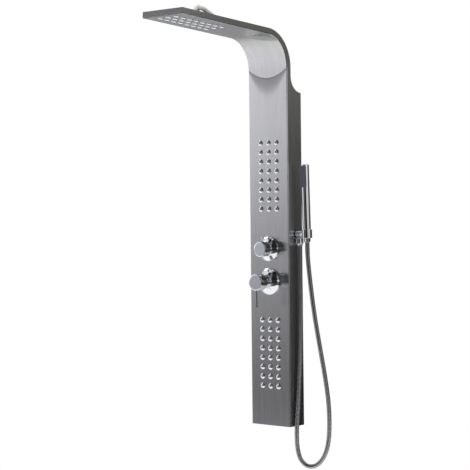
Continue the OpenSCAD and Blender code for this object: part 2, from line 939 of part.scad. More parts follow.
// Brass diverter: water comes in below and leaves by one of four ports.
module diverter_body() {
    housing_len = valve_back_y - back_of_front;
    color([0.72, 0.62, 0.4])
        difference() {
            union() {
                from_front(0, valve_back_y, diverter_z)
                    cylinder(r = diverter_snout_r + 4, h = housing_len);
                from_front(0, back_of_front, diverter_z)
                    cylinder(r = diverter_snout_r, h = back_of_front - snout_y);
                translate([0, port_y, diverter_z - side_port_x])
                    cylinder(r = port_r, h = 2 * side_port_x);
                translate([-side_port_x, port_y, diverter_z])
                    rotate([0, 90, 0])
                        cylinder(r = jet_hose_r + 1, h = side_port_x);
                for (side = [-1, 1])
                    translate([0, port_y, diverter_z + side * side_port_z])
                        rotate([0, 90, 0])
                            cylinder(r = jet_hose_r + 1, h = side_port_x);
            }
            from_front(0, cartridge_back_y, diverter_z)
                cylinder(r = diverter_cartridge_r + pass_gap, h = cartridge_back_y - snout_y + 1);
            translate([0, port_y, diverter_z - side_port_x - 1])
                cylinder(r = water_r, h = 2 * side_port_x + 2);
            translate([-side_port_x - 1, port_y, diverter_z])
                rotate([0, 90, 0])
                    cylinder(r = water_r - 1, h = side_port_x);
            for (side = [-1, 1])
                translate([8, port_y, diverter_z + side * side_port_z])
                    rotate([0, 90, 0])
                        cylinder(r = water_r - 1, h = side_port_x);
        }
}

module diverter_cartridge() {
    color([0.9, 0.9, 0.88])
        difference() {
            from_front(0, cartridge_back_y, diverter_z)
                cylinder(r = diverter_cartridge_r, h = cartridge_back_y - snout_y);
            from_front(0, shaft_back_y, diverter_z)
                cylinder(r = spindle_r + run_gap, h = shaft_back_y - snout_y + 1);
        }
}

module diverter_lock_nut() {
    color([0.7, 0.6, 0.38])
        from_front(0, front_y, diverter_z)
            difference() {
                cylinder(r = diverter_nut_r, h = lock_nut_h, $fn = 6);
                translate([0, 0, -1])
                    cylinder(r = diverter_snout_r + pass_gap / 2, h = lock_nut_h + 2);
            }
}

module diverter_escutcheon() {
    color([0.82, 0.83, 0.86])
        from_front(0, front_y, diverter_z)
            escutcheon(diverter_plate_r, diverter_dome_h, diverter_knob_r - 2.5);
}

module diverter_spindle() {
    end_y = diverter_face_y + 10;
    color([0.75, 0.66, 0.45])
        from_front(0, shaft_back_y - pass_gap, diverter_z)
            cylinder(r = spindle_r, h = shaft_back_y - pass_gap - end_y);
}

module diverter_knob() {
    back_y = diverter_face_y + diverter_knob_len;
    color([0.68, 0.72, 0.76])
        difference() {
            from_front(0, back_y, diverter_z)
                knob_blank(diverter_knob_r, diverter_knob_len);
            from_front(0, back_y + 1, diverter_z)
                cylinder(r = spindle_r + run_gap, h = back_y + 1 - diverter_face_y - 10);
            from_front(0, diverter_face_y + cap_t, diverter_z)
                cylinder(r = diverter_knob_r - cap_rim + run_gap, h = cap_t + 1);
            translate([0, diverter_pin_y, diverter_z + lever_root])
                cylinder(r = diverter_pin_r + run_gap, h = diverter_knob_r);
        }
}

module diverter_knob_cap() {
    color([0.7, 0.76, 0.78])
        from_front(0, diverter_face_y + cap_t, diverter_z)
            cylinder(r = diverter_knob_r - cap_rim, h = cap_t);
}

module diverter_pin() {
    pin_len = diverter_knob_r + diverter_pin_len - lever_root;
    color([0.7, 0.7, 0.73])
        translate([0, diverter_pin_y, diverter_z + lever_root])
            union() {
                cylinder(r = diverter_pin_r, h = pin_len);
                translate([0, 0, pin_len])
                    sphere(diverter_pin_r);
            }
}

module outlet_pipe() {
    route = [
        [side_port_x, port_y, diverter_z + side_port_z],
        [side_port_x + 7, port_y, diverter_z + side_port_z],
        [side_port_x + 15, port_y + 3, diverter_z + side_port_z + 10],
        [side_port_x + 17, port_y + 9, holder_z - 14],
        [shank_end_x - 12, -holder_y, holder_z - 2],
        [shank_end_x - 5, -holder_y, holder_z],
        [shank_end_x, -holder_y, holder_z]
    ];
    color([0.72, 0.45, 0.3])
        hose_along(route, water_r, [0, 1, 0], 12, 3);
}

module outlet_gasket() {
    color([0.12, 0.12, 0.12])
        translate([side_x, -holder_y, holder_z])
            rotate([0, 90, 0])
                tube(holder_r + 3, shank_r + pass_gap, gasket_t);
}

module outlet_back_nut() {
    nut_t = 5;
    color([0.7, 0.6, 0.38])
        translate([side_x - sheet_t - nut_t, -holder_y, holder_z])
            rotate([0, 90, 0])
                difference() {
                    cylinder(r = holder_r + 4, h = nut_t, $fn = 6);
                    translate([0, 0, -1])
                        cylinder(r = shank_r + pass_gap / 2, h = nut_t + 2);
                }
}

// Outlet through the side wall: it carries the clip and turns down to the hose.
module holder_elbow() {
    body_x = side_x + gasket_t;
    color([0.8, 0.81, 0.84])
        difference() {
            union() {
                translate([body_x, -holder_y, holder_z])
                    rotate([0, 90, 0])
                        cylinder(r = holder_r, h = holder_end_x - body_x);
                translate([shank_end_x, -holder_y, holder_z])
                    rotate([0, 90, 0])
                        cylinder(r = shank_r, h = body_x - shank_end_x + 1);
                translate([spout_x, -holder_y, holder_z - spout_end])
                    cylinder(r = shank_r, h = spout_end);
            }
            translate([shank_end_x - 1, -holder_y, holder_z])
                rotate([0, 90, 0])
                    cylinder(r = water_r, h = spout_x - shank_end_x + 1);
            translate([spout_x, -holder_y, holder_z - spout_end - 1])
                cylinder(r = water_r, h = spout_end + 1);
            translate([holder_end_x - 8, -holder_y, holder_z])
                rotate([0, 90, 0])
                    cylinder(r = clip_screw_r, h = 9);
        }
}

// Cone of the hose nut, grown by a gap where the clip's seat is cut with it.
module seat_cone(gap) {
    translate([0, 0, cone_low])
        cylinder(r1 = cone_low_r + gap, r2 = cone_top_r + gap, h = cone_top - cone_low);
}

module holder_clip() {
    hub_x = holder_end_x + pass_gap - stick_x;
    color([0.8, 0.81, 0.84])
        in_clip()
            difference() {
                union() {
                    translate([0, 0, clip_low])
                        cylinder(r = clip_r, h = clip_top - clip_low);
                    translate([hub_x, 0, 0])
                        rotate([0, 90, 0])
                            cylinder(r = holder_r, h = -hub_x - clip_r / 2);
                }
                seat_cone(pass_gap);
                translate([hub_x - 1, 0, 0])
                    rotate([0, 90, 0])
                        cylinder(r = clip_screw_r + run_gap, h = clip_r);
                translate([-cone_top_r - clip_head_t, 0, 0])
                    rotate([0, 90, 0])
                        cylinder(r = clip_head_r + pass_gap, h = clip_r / 2);
            }
}

module clip_screw() {
    head_x = stick_x - cone_top_r - clip_head_t + pass_gap / 2;
    color([0.6, 0.6, 0.62])
        union() {
            translate([holder_end_x - 7, -holder_y, holder_z])
                rotate([0, 90, 0])
                    cylinder(r = clip_screw_r, h = head_x + 1 - holder_end_x + 7);
            translate([head_x, -holder_y, holder_z])
                rotate([0, 90, 0])
                    cylinder(r = clip_head_r, h = clip_head_t);
        }
}

// Stick of the hand shower: hollow, with a seat cut in its front for the spray face.
module handset_body() {
    body_len = stick_len - top_cap_t;
    color([0.82, 0.83, 0.86])
        in_clip()
            difference() {
                union() {
                    translate([0, 0, cone_top])
                        cylinder(r = stick_r, h = body_len);
                    translate([0, 0, seat_z + washer_t])
                        cylinder(r = nut_bore_r - run_gap, h = cone_top - seat_z);
                }
                translate([0, 0, cone_top + 10])
                    cylinder(r = handset_bore_r, h = body_len);
                translate([0, 0, 0])
                    cylinder(r = water_r, h = cone_top + 11);
                translate([-spray_w / 2, -stick_r - 2, spray_low])
                    cube([spray_w, spray_seat + stick_r + 2, spray_high - spray_low]);
            }
}

module handset_end_cap() {
    color([0.82, 0.83, 0.86])
        in_clip()
            translate([0, 0, cone_top + stick_len - top_cap_t])
                union() {
                    cylinder(r = stick_r, h = top_cap_t - 1.5);
                    translate([0, 0, top_cap_t - 1.5])
                        cylinder(r1 = stick_r, r2 = stick_r - 1.5, h = 1.5);
                    translate([0, 0, -5])
                        cylinder(r = handset_bore_r - run_gap, h = 5);
                }
}

module at_nozzles() {
    for (c = [-1 : 1], i = [0 : nozzle_rows - 1])
        translate([
            c * nozzle_pitch,
            0,
            (spray_low + spray_high) / 2 + (i - (nozzle_rows - 1) / 2) * nozzle_pitch
        ])
            rotate([90, 0, 0])
                children();
}

module handset_spray_face() {
    color([0.25, 0.26, 0.28])
        in_clip()
            difference() {
                translate([-spray_w / 2 + run_gap, -stick_r - spray_proud, spray_low + run_gap])
                    cube([spray_w - 2 * run_gap, spray_t, spray_high - spray_low - 2 * run_gap]);
                at_nozzles()
                    cylinder(r = nozzle_r, h = stick_r + 2);
            }
}

module handset_nozzles() {
    color([0.1, 0.1, 0.1])
        in_clip()
            at_nozzles()
                translate([0, 0, -spray_seat])
                    tube(nozzle_r, nozzle_r / 3, stick_r + spray_proud + spray_seat + 0.7);
}

module handset_washer() {
    color([0.1, 0.1, 0.1])
        in_clip()
            translate([0, 0, seat_z])
                tube(nut_bore_r - pass_gap, water_r, washer_t);
}

module hose_cone_nut() {
    color([0.8, 0.81, 0.84])
        in_clip()
            difference() {
                seat_cone(0);
                translate([0, 0, seat_z])
                    cylinder(r = nut_bore_r, h = cone_top);
                translate([0, 0, cone_low - 1])
                    cylinder(r = water_r, h = cone_top - cone_low);
            }
}

module hose_outlet_nut() {
    color([0.8, 0.81, 0.84])
        difference() {
            translate([spout_x, -holder_y, holder_z - outlet_nut_low])
                cylinder(r = outlet_nut_r, h = outlet_nut_low - outlet_nut_top);
            translate([spout_x, -holder_y, holder_z - spout_end - washer_t])
                cylinder(r = shank_r + pass_gap / 2, h = spout_end + washer_t);
            translate([spout_x, -holder_y, holder_z - outlet_nut_low - 1])
                cylinder(r = water_r, h = outlet_nut_low);
        }
}

module hose_washer() {
    color([0.1, 0.1, 0.1])
        translate([spout_x, -holder_y, holder_z - spout_end - washer_t])
            tube(shank_r - pass_gap, water_r, washer_t);
}

module shower_hose() {
    color([0.6, 0.61, 0.63])
        hose_along(hose_route, hose_r, [0, 1, 0], 10, 2);
}

panel_shell();
upper_hanger_strip();
lower_hanger_strip();
upper_wall_bracket();
lower_wall_bracket();
rain_chamber();
rain_chamber_lid();
rain_jet_bezels();
rain_jet_tips();
rain_inlet_elbow();
rain_elbow_nut();
rain_supply_hose();
upper_jet_manifold();
upper_manifold_lid();
upper_jet_bezels();
upper_jet_tips();
upper_jet_hose();
lower_jet_manifold();
lower_manifold_lid();
lower_jet_bezels();
lower_jet_tips();
lower_jet_hose();
mixer_body();
mixer_cartridge();
mixer_lock_nut();
mixer_escutcheon();
mixer_collar();
mixer_carrier();
mixer_pivot_pin();
mixer_stem();
mixer_knob();
mixer_knob_cap();
mixer_lever();
transfer_pipe();
diverter_body();
diverter_cartridge();
diverter_lock_nut();
diverter_escutcheon();
diverter_spindle();
diverter_knob();
diverter_knob_cap();
diverter_pin();
outlet_pipe();
outlet_gasket();
outlet_back_nut();
holder_elbow();
holder_clip();
clip_screw();
handset_body();
handset_end_cap();
handset_spray_face();
handset_nozzles();
handset_washer();
hose_cone_nut();
hose_outlet_nut();
hose_washer();
shower_hose();
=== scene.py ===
# Wall-hung shower panel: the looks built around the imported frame. Metres, unless a comment says
# millimetres.
import math
import bpy
import numpy as np
from mathutils import Matrix, Vector


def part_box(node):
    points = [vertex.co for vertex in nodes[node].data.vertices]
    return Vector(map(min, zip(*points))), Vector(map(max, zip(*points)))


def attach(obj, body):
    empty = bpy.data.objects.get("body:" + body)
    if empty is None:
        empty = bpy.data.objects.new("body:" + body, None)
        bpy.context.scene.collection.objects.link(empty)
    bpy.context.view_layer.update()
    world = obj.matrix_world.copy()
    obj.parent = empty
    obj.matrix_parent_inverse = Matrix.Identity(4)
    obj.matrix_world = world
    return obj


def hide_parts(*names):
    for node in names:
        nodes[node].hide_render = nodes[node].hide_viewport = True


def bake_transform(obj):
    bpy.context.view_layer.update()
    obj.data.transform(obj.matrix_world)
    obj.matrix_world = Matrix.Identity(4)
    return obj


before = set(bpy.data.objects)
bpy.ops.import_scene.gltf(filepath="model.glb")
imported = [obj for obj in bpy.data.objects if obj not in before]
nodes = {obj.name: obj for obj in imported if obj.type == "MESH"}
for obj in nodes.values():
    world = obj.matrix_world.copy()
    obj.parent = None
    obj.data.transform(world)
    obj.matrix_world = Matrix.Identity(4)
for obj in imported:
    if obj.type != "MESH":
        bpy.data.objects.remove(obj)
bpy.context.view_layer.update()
print("frame loaded:", len(nodes), "nodes")

millimetre = 0.001


def addObject(name, data):
    made = bpy.data.objects.new(name, data)
    bpy.context.scene.collection.objects.link(made)
    return made


cameraSetup = {
    "azimuth": 39.34,       # degrees round from the front, towards the right
    "elevation": 0.86,
    "roll": -0.64,
    "distance": 4.974,
    "aim": (-0.2054, 0.0, -0.3757),
    "lens": 111.7,
    "sensor": 36,
    "clipEnd": 50,
}


# Looks back at the aim from a distance; right and up are turned about that line by the roll.
def addCamera(setup):
    azimuth, elevation, roll = (math.radians(setup[k]) for k in ("azimuth", "elevation", "roll"))
    back = np.array([math.sin(azimuth) * math.cos(elevation), -math.cos(azimuth) * math.cos(elevation),
                     math.sin(elevation)])
    right = np.cross(-back, [0, 0, 1])
    right /= np.linalg.norm(right)
    up = np.cross(right, -back)
    place = np.eye(4)
    place[:3, 0] = math.cos(roll) * right + math.sin(roll) * up
    place[:3, 1] = math.cos(roll) * up - math.sin(roll) * right
    place[:3, 2] = back
    place[:3, 3] = np.array(setup["aim"]) + setup["distance"] * back
    data = bpy.data.cameras.new("camera")
    data.sensor_width, data.lens, data.clip_end = setup["sensor"], setup["lens"], setup["clipEnd"]
    camera = addObject("camera", data)
    camera.matrix_world = Matrix(place.tolist())
    bpy.context.scene.camera = camera


addCamera(cameraSetup)
print("camera placed")

# Grid of points (rows, columns, 3) to quads; a wrapped direction joins its last line to its first.
def gridFaces(rows, columns, wrapRows, wrapColumns, offset=0):
    i = np.arange(rows if wrapRows else rows - 1)
    k = np.arange(columns if wrapColumns else columns - 1)
    i, k = np.meshgrid(i, k, indexing="ij")
    nextI = (i + 1) % rows
    nextK = (k + 1) % columns
    quads = np.stack([i * columns + k, nextI * columns + k, nextI * columns + nextK, i * columns + nextK],
                     -1)
    return quads.reshape(-1, 4) + offset


# Piece from points and blocks of faces. Without a body it is left free.
def newPiece(name, points, faces, body, finish, slot, standsFor=(), sharp=35, uv=None):
    mesh = bpy.data.meshes.new(name)
    points = np.asarray(points, float).reshape(-1, 3)
    mesh.from_pydata(points, [], sum((block.tolist() for block in faces), []))
    if uv is not None:
        layer = mesh.uv_layers.new(name="UVMap")
        loopVertex = np.zeros(len(mesh.loops), np.int32)
        mesh.loops.foreach_get("vertex_index", loopVertex)
        layer.data.foreach_set("uv", np.asarray(uv, np.float32).reshape(-1, 2)[loopVertex].ravel())
    mesh.validate()
    mesh.polygons.foreach_set("use_smooth", np.ones(len(mesh.polygons), bool))
    mesh.set_sharp_from_angle(angle=math.radians(sharp))
    mesh.materials.append(finishes[finish])
    piece = addObject(name, mesh)
    if body:
        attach(piece, body)
        shading = piece.modifiers.new("evenShading", "WEIGHTED_NORMAL")
        shading.keep_sharp = True
    if standsFor:
        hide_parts(*standsFor)
    return piece


# Rounds every inner corner of an open outline with an arc tangent to its two sides: the arc starts and ends
# radius / tan(half the corner) from it, and is cut at equal angles between those two ends.
def rounded(outline, radius, steps=5):
    outline = np.asarray(outline, float)
    radii = np.broadcast_to(radius, len(outline)).astype(float)
    pieces = [outline[:1]]
    for k in range(1, len(outline) - 1):
        before, corner, after = outline[k - 1], outline[k], outline[k + 1]
        a = before - corner
        b = after - corner
        lengthA, lengthB = np.linalg.norm(a), np.linalg.norm(b)
        a, b = a / lengthA, b / lengthB
        half = 0.5 * math.acos(float(np.clip(a @ b, -1, 1)))
        cut = min(radii[k] / math.tan(half), 0.49 * lengthA, 0.49 * lengthB) if radii[k] > 0 else 0
        if cut < 1e-7 or half > 1.56:
            pieces.append(corner[None])
            continue
        arcRadius = cut * math.tan(half)
        middle = corner + (a + b) / np.linalg.norm(a + b) * arcRadius / math.sin(half)
        start, end = corner + a * cut - middle, corner + b * cut - middle
        t = np.linspace(0, 1, steps + 1)[:, None]
        whole = math.acos(float(np.clip(start @ end / (arcRadius * arcRadius), -1, 1)))
        arcPoints = (np.sin((1 - t) * whole) * start + np.sin(t * whole) * end) / math.sin(whole)
        pieces.append(middle + arcPoints)
    pieces.append(outline[-1:])
    return np.concatenate(pieces)


# Lathe: each outline point (radius, height), in millimetres, goes round the axis. A zero radius becomes one
# pole point.
def turned(outline, segments=64, ring=False):
    outline = np.asarray(outline, float) * millimetre
    angle = np.linspace(0, 2 * np.pi, segments, endpoint=False)
    circle = np.stack([np.cos(angle), np.sin(angle)], -1)
    startPole, endPole = (not ring and outline[end, 0] < 1e-9 for end in (0, -1))
    rings = outline[int(startPole):len(outline) - int(endPole)]
    grid = np.concatenate([
        rings[:, None, :1] * circle[None],
        np.broadcast_to(rings[:, None, 1:2], (len(rings), segments, 1)),
    ], -1)
    points = grid.reshape(-1, 3)
    faces = [gridFaces(len(rings), segments, ring, True)[:, ::-1]]
    around = np.arange(segments)
    following = (around + 1) % segments
    last = (len(rings) - 1) * segments
    rims = (following, around), (last + around, last + following)
    for isPole, end, rim in zip((startPole, endPole), (0, -1), rims):
        if isPole:
            faces.append(np.stack([np.full(segments, len(points)), *rim], -1))
            points = np.vstack([points, [0, 0, outline[end, 1]]])
    return points, faces


# Local points to the frame: local z along axis, local x along side.
def placed(points, origin, axis, side=(1, 0, 0)):
    axis = np.asarray(axis, float) / np.linalg.norm(axis)
    side = np.asarray(side, float) - axis * (np.asarray(side, float) @ axis)
    side /= np.linalg.norm(side)
    basis = np.stack([side, np.cross(axis, side), axis])
    return np.asarray(points) @ basis + np.asarray(origin)


# Copies of one mesh at several origins, as one array.
def repeated(points, faces, shifts):
    shifts = np.asarray(shifts, float)
    offsets = (np.arange(len(shifts)) * len(points))[:, None, None]
    copies = (points[None] + shifts[:, None]).reshape(-1, 3)
    return copies, [(block[None] + offsets).reshape(-1, block.shape[1]) for block in faces]


# Several meshes as one.
def joined(*parts):
    points, faces, offset = [], [], 0
    for partPoints, partFaces in parts:
        points.append(partPoints)
        faces += [block + offset for block in partFaces]
        offset += len(partPoints)
    return np.concatenate(points), faces


# Catmull-Rom curve through the route, with a given number of steps between two of its points: half of
# 2b + (c - a) t + (2a - 5b + 4c - d) t squared + (3b - a - 3c + d) t cubed for neighbours a, b, c and d.
def smoothRoute(route, steps):
    p = np.asarray(route, float)
    p = np.vstack([2 * p[0] - p[1], p, 2 * p[-1] - p[-2]])
    t = (np.arange(steps) / steps)[None, :, None]
    a, b, c, d = (p[k:len(p) - 3 + k, None] for k in range(4))
    curve = 0.5 * (2 * b + (c - a) * t + (2 * a - 5 * b + 4 * c - d) * t ** 2
                   + (3 * b - a - 3 * c + d) * t ** 3)
    return np.vstack([curve.reshape(-1, 3), p[-2]])


# The same curve, cut into equal lengths.
def evenly(path, spacing):
    step = np.linalg.norm(np.diff(path, axis=0), axis=1)
    travelled = np.concatenate([[0], np.cumsum(step)])
    count = max(2, int(round(travelled[-1] / spacing)) + 1)
    wanted = np.linspace(0, travelled[-1], count)
    return np.stack([np.interp(wanted, travelled, path[:, k]) for k in range(3)], -1), wanted


# Tube of changing radius along a path: path + radius (cos angle u + sin angle v), with u = heading cross
# across and v = heading cross u. Across is a direction the path never follows.
def sweptTube(path, radii, across, sides=16):
    heading = np.gradient(path, axis=0)
    heading /= np.linalg.norm(heading, axis=1)[:, None]
    u = np.cross(heading, across)
    u /= np.linalg.norm(u, axis=1)[:, None]
    v = np.cross(heading, u)
    angle = np.linspace(0, 2 * np.pi, sides, endpoint=False)
    radii = np.broadcast_to(radii, len(path))[:, None, None]
    ring = np.cos(angle)[None, :, None] * u[:, None] + np.sin(angle)[None, :, None] * v[:, None]
    points = (path[:, None] + radii * ring).reshape(-1, 3)
    lastRing = (len(path) - 1) * sides + np.arange(sides)
    return points, [gridFaces(len(path), sides, False, True)[:, ::-1], np.arange(sides)[None, ::-1],
                    lastRing[None]]


# A socket takes a fixed value or another node's output.
def plug(tree, socket, value):
    if isinstance(value, bpy.types.NodeSocket):
        tree.links.new(value, socket)
    else:
        socket.default_value = value


# Node of a kind. Values go in by place, or by name with underscores for spaces; other names are settings.
def addNode(tree, kind, *values, **named):
    node = tree.nodes.new("ShaderNode" + kind)
    for key, value in named.items():
        socket = key.replace("_", " ")
        if socket in node.inputs:
            plug(tree, node.inputs[socket], value)
        else:
            setattr(node, key, value)
    for socket, value in zip(node.inputs, values):
        plug(tree, socket, value)
    return node


def mathNode(tree, operation, *values, kind="Math"):
    return addNode(tree, kind, *values, operation=operation).outputs[0]


# Value between low and high carried to a share between start and end, straight or eased.
def mapRange(tree, value, low, high, start, end, easing="LINEAR"):
    return addNode(tree, "MapRange", interpolation_type=easing, Value=value, From_Min=low, From_Max=high,
                   To_Min=start, To_Max=end).outputs[0]


# Colour ramp between stops of (place, colour).
def colorStops(tree, value, stops):
    ramp = addNode(tree, "ValToRGB", value)
    elements = ramp.color_ramp.elements
    while len(elements) < len(stops):
        elements.new(0.5)
    for element, (place, color) in zip(elements, stops):
        element.position = place
        element.color = (*color, 1)
    return ramp.outputs["Color"]


# Noise on stretched Object or UV coordinates.
def streakNoise(tree, scale, detail, roughness, coordinate="Object"):
    place = addNode(tree, "TexCoord").outputs[coordinate]
    stretched = addNode(tree, "Mapping", Vector=place, Scale=scale).outputs[0]
    return addNode(tree, "TexNoise", Vector=stretched, Scale=1.0, Detail=detail,
                   Roughness=roughness).outputs["Fac"]


def newMaterial(name, color, metallic, roughness, **sockets):
    material = bpy.data.materials.new(name)
    material.use_nodes = True
    shader = material.node_tree.nodes["Principled BSDF"]
    values = {"Base Color": (*color, 1), "Metallic": metallic, "Roughness": roughness, **sockets}
    for socket, value in values.items():
        shader.inputs[socket.replace("_", " ")].default_value = value
    return material, material.node_tree, shader


# Noise between 0.3 and 0.7 carries the roughness from below to above it, and the colour from dark to full.
def markSurface(tree, shader, noise, color, roughness, below, above, dark):
    rough = mapRange(tree, noise, 0.3, 0.7, roughness - below, roughness + above)
    plug(tree, shader.inputs["Roughness"], rough)
    tone = colorStops(tree, noise, [(0.3, [dark * c for c in color]), (0.7, color)])
    plug(tree, shader.inputs["Base Color"], tone)


def bumpFrom(tree, shader, height, strength, distance):
    bump = addNode(tree, "Bump", Strength=strength, Distance=distance, Height=height)
    plug(tree, shader.inputs["Normal"], bump.outputs["Normal"])
    return bump


# Metres along and across the panel from its foot; tilts in radians.
creaseShape = {
    "bendFrom": 1.1695,
    "halfWidth": 0.08,
    "rise": ((-0.006, -0.105), (-0.002, -0.034)),   # slow lean: from, to; each (edge, more in the middle)
    "turn": ((-0.002, -0.034), (0.004, -0.028)),    # quick lean into the bend
    "fade": (0.0, 0.07),
    "tilts": (0.085, 0.15),
}


# Slack left in the sheet where it starts to bend: the face leans early, most of all in its middle.
# Normal' = normal + tilt(u, v) * (x cross normal), tilt = slow + turn - fade.
def creaseNormal(tree, shape):
    axes = addNode(tree, "SeparateXYZ", addNode(tree, "TexCoord").outputs["UV"])
    share = mathNode(tree, "DIVIDE", axes.outputs[0], shape["halfWidth"])
    square = mathNode(tree, "MULTIPLY", share, share)
    middle = mathNode(tree, "MAXIMUM", mathNode(tree, "SUBTRACT", 1.0, square), 0.0)
    travelled = mathNode(tree, "SUBTRACT", axes.outputs[1], shape["bendFrom"])
    steps = []
    for key, tilt in zip(("rise", "turn"), shape["tilts"]):
        ends = [mathNode(tree, "MULTIPLY_ADD", middle, added, edge) for edge, added in shape[key]]
        steps.append(mapRange(tree, travelled, *ends, 0.0, tilt, "SMOOTHSTEP"))
    fade = mapRange(tree, travelled, *shape["fade"], 0.0, sum(shape["tilts"]), "SMOOTHSTEP")
    tilt = mathNode(tree, "SUBTRACT", mathNode(tree, "ADD", *steps), fade)
    normal = addNode(tree, "NewGeometry").outputs["Normal"]
    lean = mathNode(tree, "CROSS_PRODUCT", (1, 0, 0), normal, kind="VectorMath")
    scaled = addNode(tree, "VectorMath", lean, operation="SCALE", Scale=tilt).outputs[0]
    total = mathNode(tree, "ADD", normal, scaled, kind="VectorMath")
    return mathNode(tree, "NORMALIZE", total, kind="VectorMath")


# Sheet steel brushed along its length: fine streaks in roughness, colour and height, blurred across the
# grain; cloud colour multiplies streak colour.
def brushedSheet(name, color, roughness, scale, crease):
    material, tree, shader = newMaterial(name, color, 1.0, roughness, Anisotropic=0.92)
    streaks = streakNoise(tree, scale, 8, 0.7, "UV")
    clouds = streakNoise(tree, tuple(0.02 * s for s in scale), 3, 0.5, "UV")
    rough = mapRange(tree, streaks, 0.3, 0.7, roughness - 0.03, roughness + 0.04)
    tone = colorStops(tree, streaks, [(0.3, [0.78 * c for c in color]), (0.5, color),
                                      (0.72, [min(1, 1.18 * c) for c in color])])
    cloudTone = colorStops(tree, clouds, [(0.3, (0.94, 0.94, 0.95)), (0.7, (1, 1, 1))])
    mix = addNode(tree, "Mix", data_type="RGBA", blend_type="MULTIPLY")
    for place, value in ((0, 1.0), (6, tone), (7, cloudTone)):
        plug(tree, mix.inputs[place], value)
    grain = bumpFrom(tree, shader, streaks, 0.025, 0.0002)
    plug(tree, grain.inputs["Normal"], creaseNormal(tree, crease))
    tangent = addNode(tree, "Tangent", direction_type="UV_MAP", uv_map="UVMap").outputs[0]
    for socket, value in (("Roughness", rough), ("Base Color", mix.outputs[2]), ("Tangent", tangent)):
        plug(tree, shader.inputs[socket], value)
    return material


# Polished plating: nearly a mirror, with faint wipe marks and dulling.
def polished(name, color, roughness, markScale=60):
    material, tree, shader = newMaterial(name, color, 1.0, roughness)
    marks = streakNoise(tree, (markScale,) * 3, 5, 0.65)
    markSurface(tree, shader, marks, color, roughness, 0.03, 0.05, 0.93)
    bumpFrom(tree, shader, streakNoise(tree, (900,) * 3, 2, 0.5), 0.03, 0.0001)
    return material


# Satin or cast metal: noise stretched along one axis gives fine tool marks.
def satinMetal(name, color, roughness, scale):
    material, tree, shader = newMaterial(name, color, 1.0, roughness)
    marks = streakNoise(tree, scale, 6, 0.7)
    markSurface(tree, shader, marks, color, roughness, 0.06, 0.1, 0.88)
    bumpFrom(tree, shader, marks, 0.1, 0.0002)
    return material


# Moulded plastic or rubber: soft mottling, a fine grain and a little sheen change.
def moulded(name, color, roughness, grainScale=700, bumpStrength=0.15, **sockets):
    material, tree, shader = newMaterial(name, color, 0.0, roughness, **sockets)
    markSurface(tree, shader, streakNoise(tree, (40,) * 3, 3, 0.5), color, roughness, 0.05, 0.08, 0.9)
    bumpFrom(tree, shader, streakNoise(tree, (grainScale,) * 3, 3, 0.6), bumpStrength, 0.0002)
    return material


finishes = {
    "panelSteel": brushedSheet("panelSteel", (0.56, 0.561, 0.565), 0.22, (900, 7, 1), creaseShape),
    "zincPlate": satinMetal("zincPlate", (0.5, 0.51, 0.53), 0.38, (60, 60, 200)),
    "chrome": polished("chrome", (0.84, 0.85, 0.88), 0.05),
    "chromedPlastic": polished("chromedPlastic", (0.92, 0.93, 0.94), 0.06, 35),
    "mixerDisc": satinMetal("mixerDisc", (0.52, 0.52, 0.58), 0.3, (500, 500, 500)),
    "diverterDisc": satinMetal("diverterDisc", (0.57, 0.62, 0.65), 0.3, (500, 500, 500)),
    "brass": satinMetal("brass", (0.72, 0.53, 0.25), 0.32, (90, 400, 90)),
    "copper": satinMetal("copper", (0.75, 0.42, 0.28), 0.28, (150, 150, 40)),
    # Painted shade: the lever's chrome gets a dark colour in place of the dark reflections along the rod.
    "leverChromePaintedShade": polished("leverChromePaintedShade", (0.3, 0.3, 0.32), 0.12),
    "armChrome": polished("armChrome", (0.95, 0.95, 0.97), 0.32),
    "hoseMetal": polished("hoseMetal", (0.36, 0.36, 0.37), 0.15, 150),
    "whitePlastic": moulded("whitePlastic", (0.9, 0.9, 0.87), 0.35, 500, 0.08, Coat_Weight=0.2),
    "whiteHose": moulded("whiteHose", (0.84, 0.84, 0.82), 0.3, 400, 0.08, Coat_Weight=0.3),
    "blackPlastic": moulded("blackPlastic", (0.035, 0.036, 0.04), 0.45),
    "sprayPlastic": moulded("sprayPlastic", (0.06, 0.056, 0.075), 0.4),
    "jetRubber": moulded("jetRubber", (0.16, 0.16, 0.165), 0.55, 900, 0.2),
    "blackRubber": moulded("blackRubber", (0.02, 0.02, 0.02), 0.6, 900, 0.3),
}
print("finishes made:", len(finishes))

hoseShape = {
    "diameter": 0.015,
    "pitch": 0.0042,        # one turn of the wound strip
    "groove": 0.0006,
    "sides": 16,
    "rise": 0.36,           # last length, which swings with the clip
    "follows": 0.06,        # end of the rise that moves with the clip as one
    "sleeve": 0.034,        # short length that stretches when the hand shower is lifted
    "sleeveGap": 0.0002,    # sleeve's radius over the hose's
    "intoNut": 0.012,
    "route": [
        (95, -34, -410), (95, -34, -455), (97, -35, -520), (98, -36, -600), (98, -38, -680),
        (97, -40, -760), (95, -43, -835), (94, -48, -905), (93, -54, -970), (93, -58, -1025),
        (95, -57, -1068), (104, -54, -1103), (124, -47, -1124), (150, -39, -1124), (173, -32, -1105),
        (189, -27, -1072), (196, -23, -1030),
        (198, -22, -975), (195, -22, -915), (187, -24, -850), (176, -26, -785), (163, -28, -715),
        (150, -30, -640), (139, -31, -565), (130, -32, -490), (126, -33, -440), (125, -33, -401),
    ],
}


# Wound metal hose: once a turn the radius falls from the crest by the groove times the square of
# (1 - cos(turn)) / 2.
def woundTube(line, travelled, shape, extra=0.0):
    crest = shape["diameter"] / 2 + extra
    swing = 0.5 - 0.5 * np.cos(2 * np.pi * travelled / shape["pitch"])
    return sweptTube(line, crest - shape["groove"] * swing ** 2, (0, 1, 0), shape["sides"])


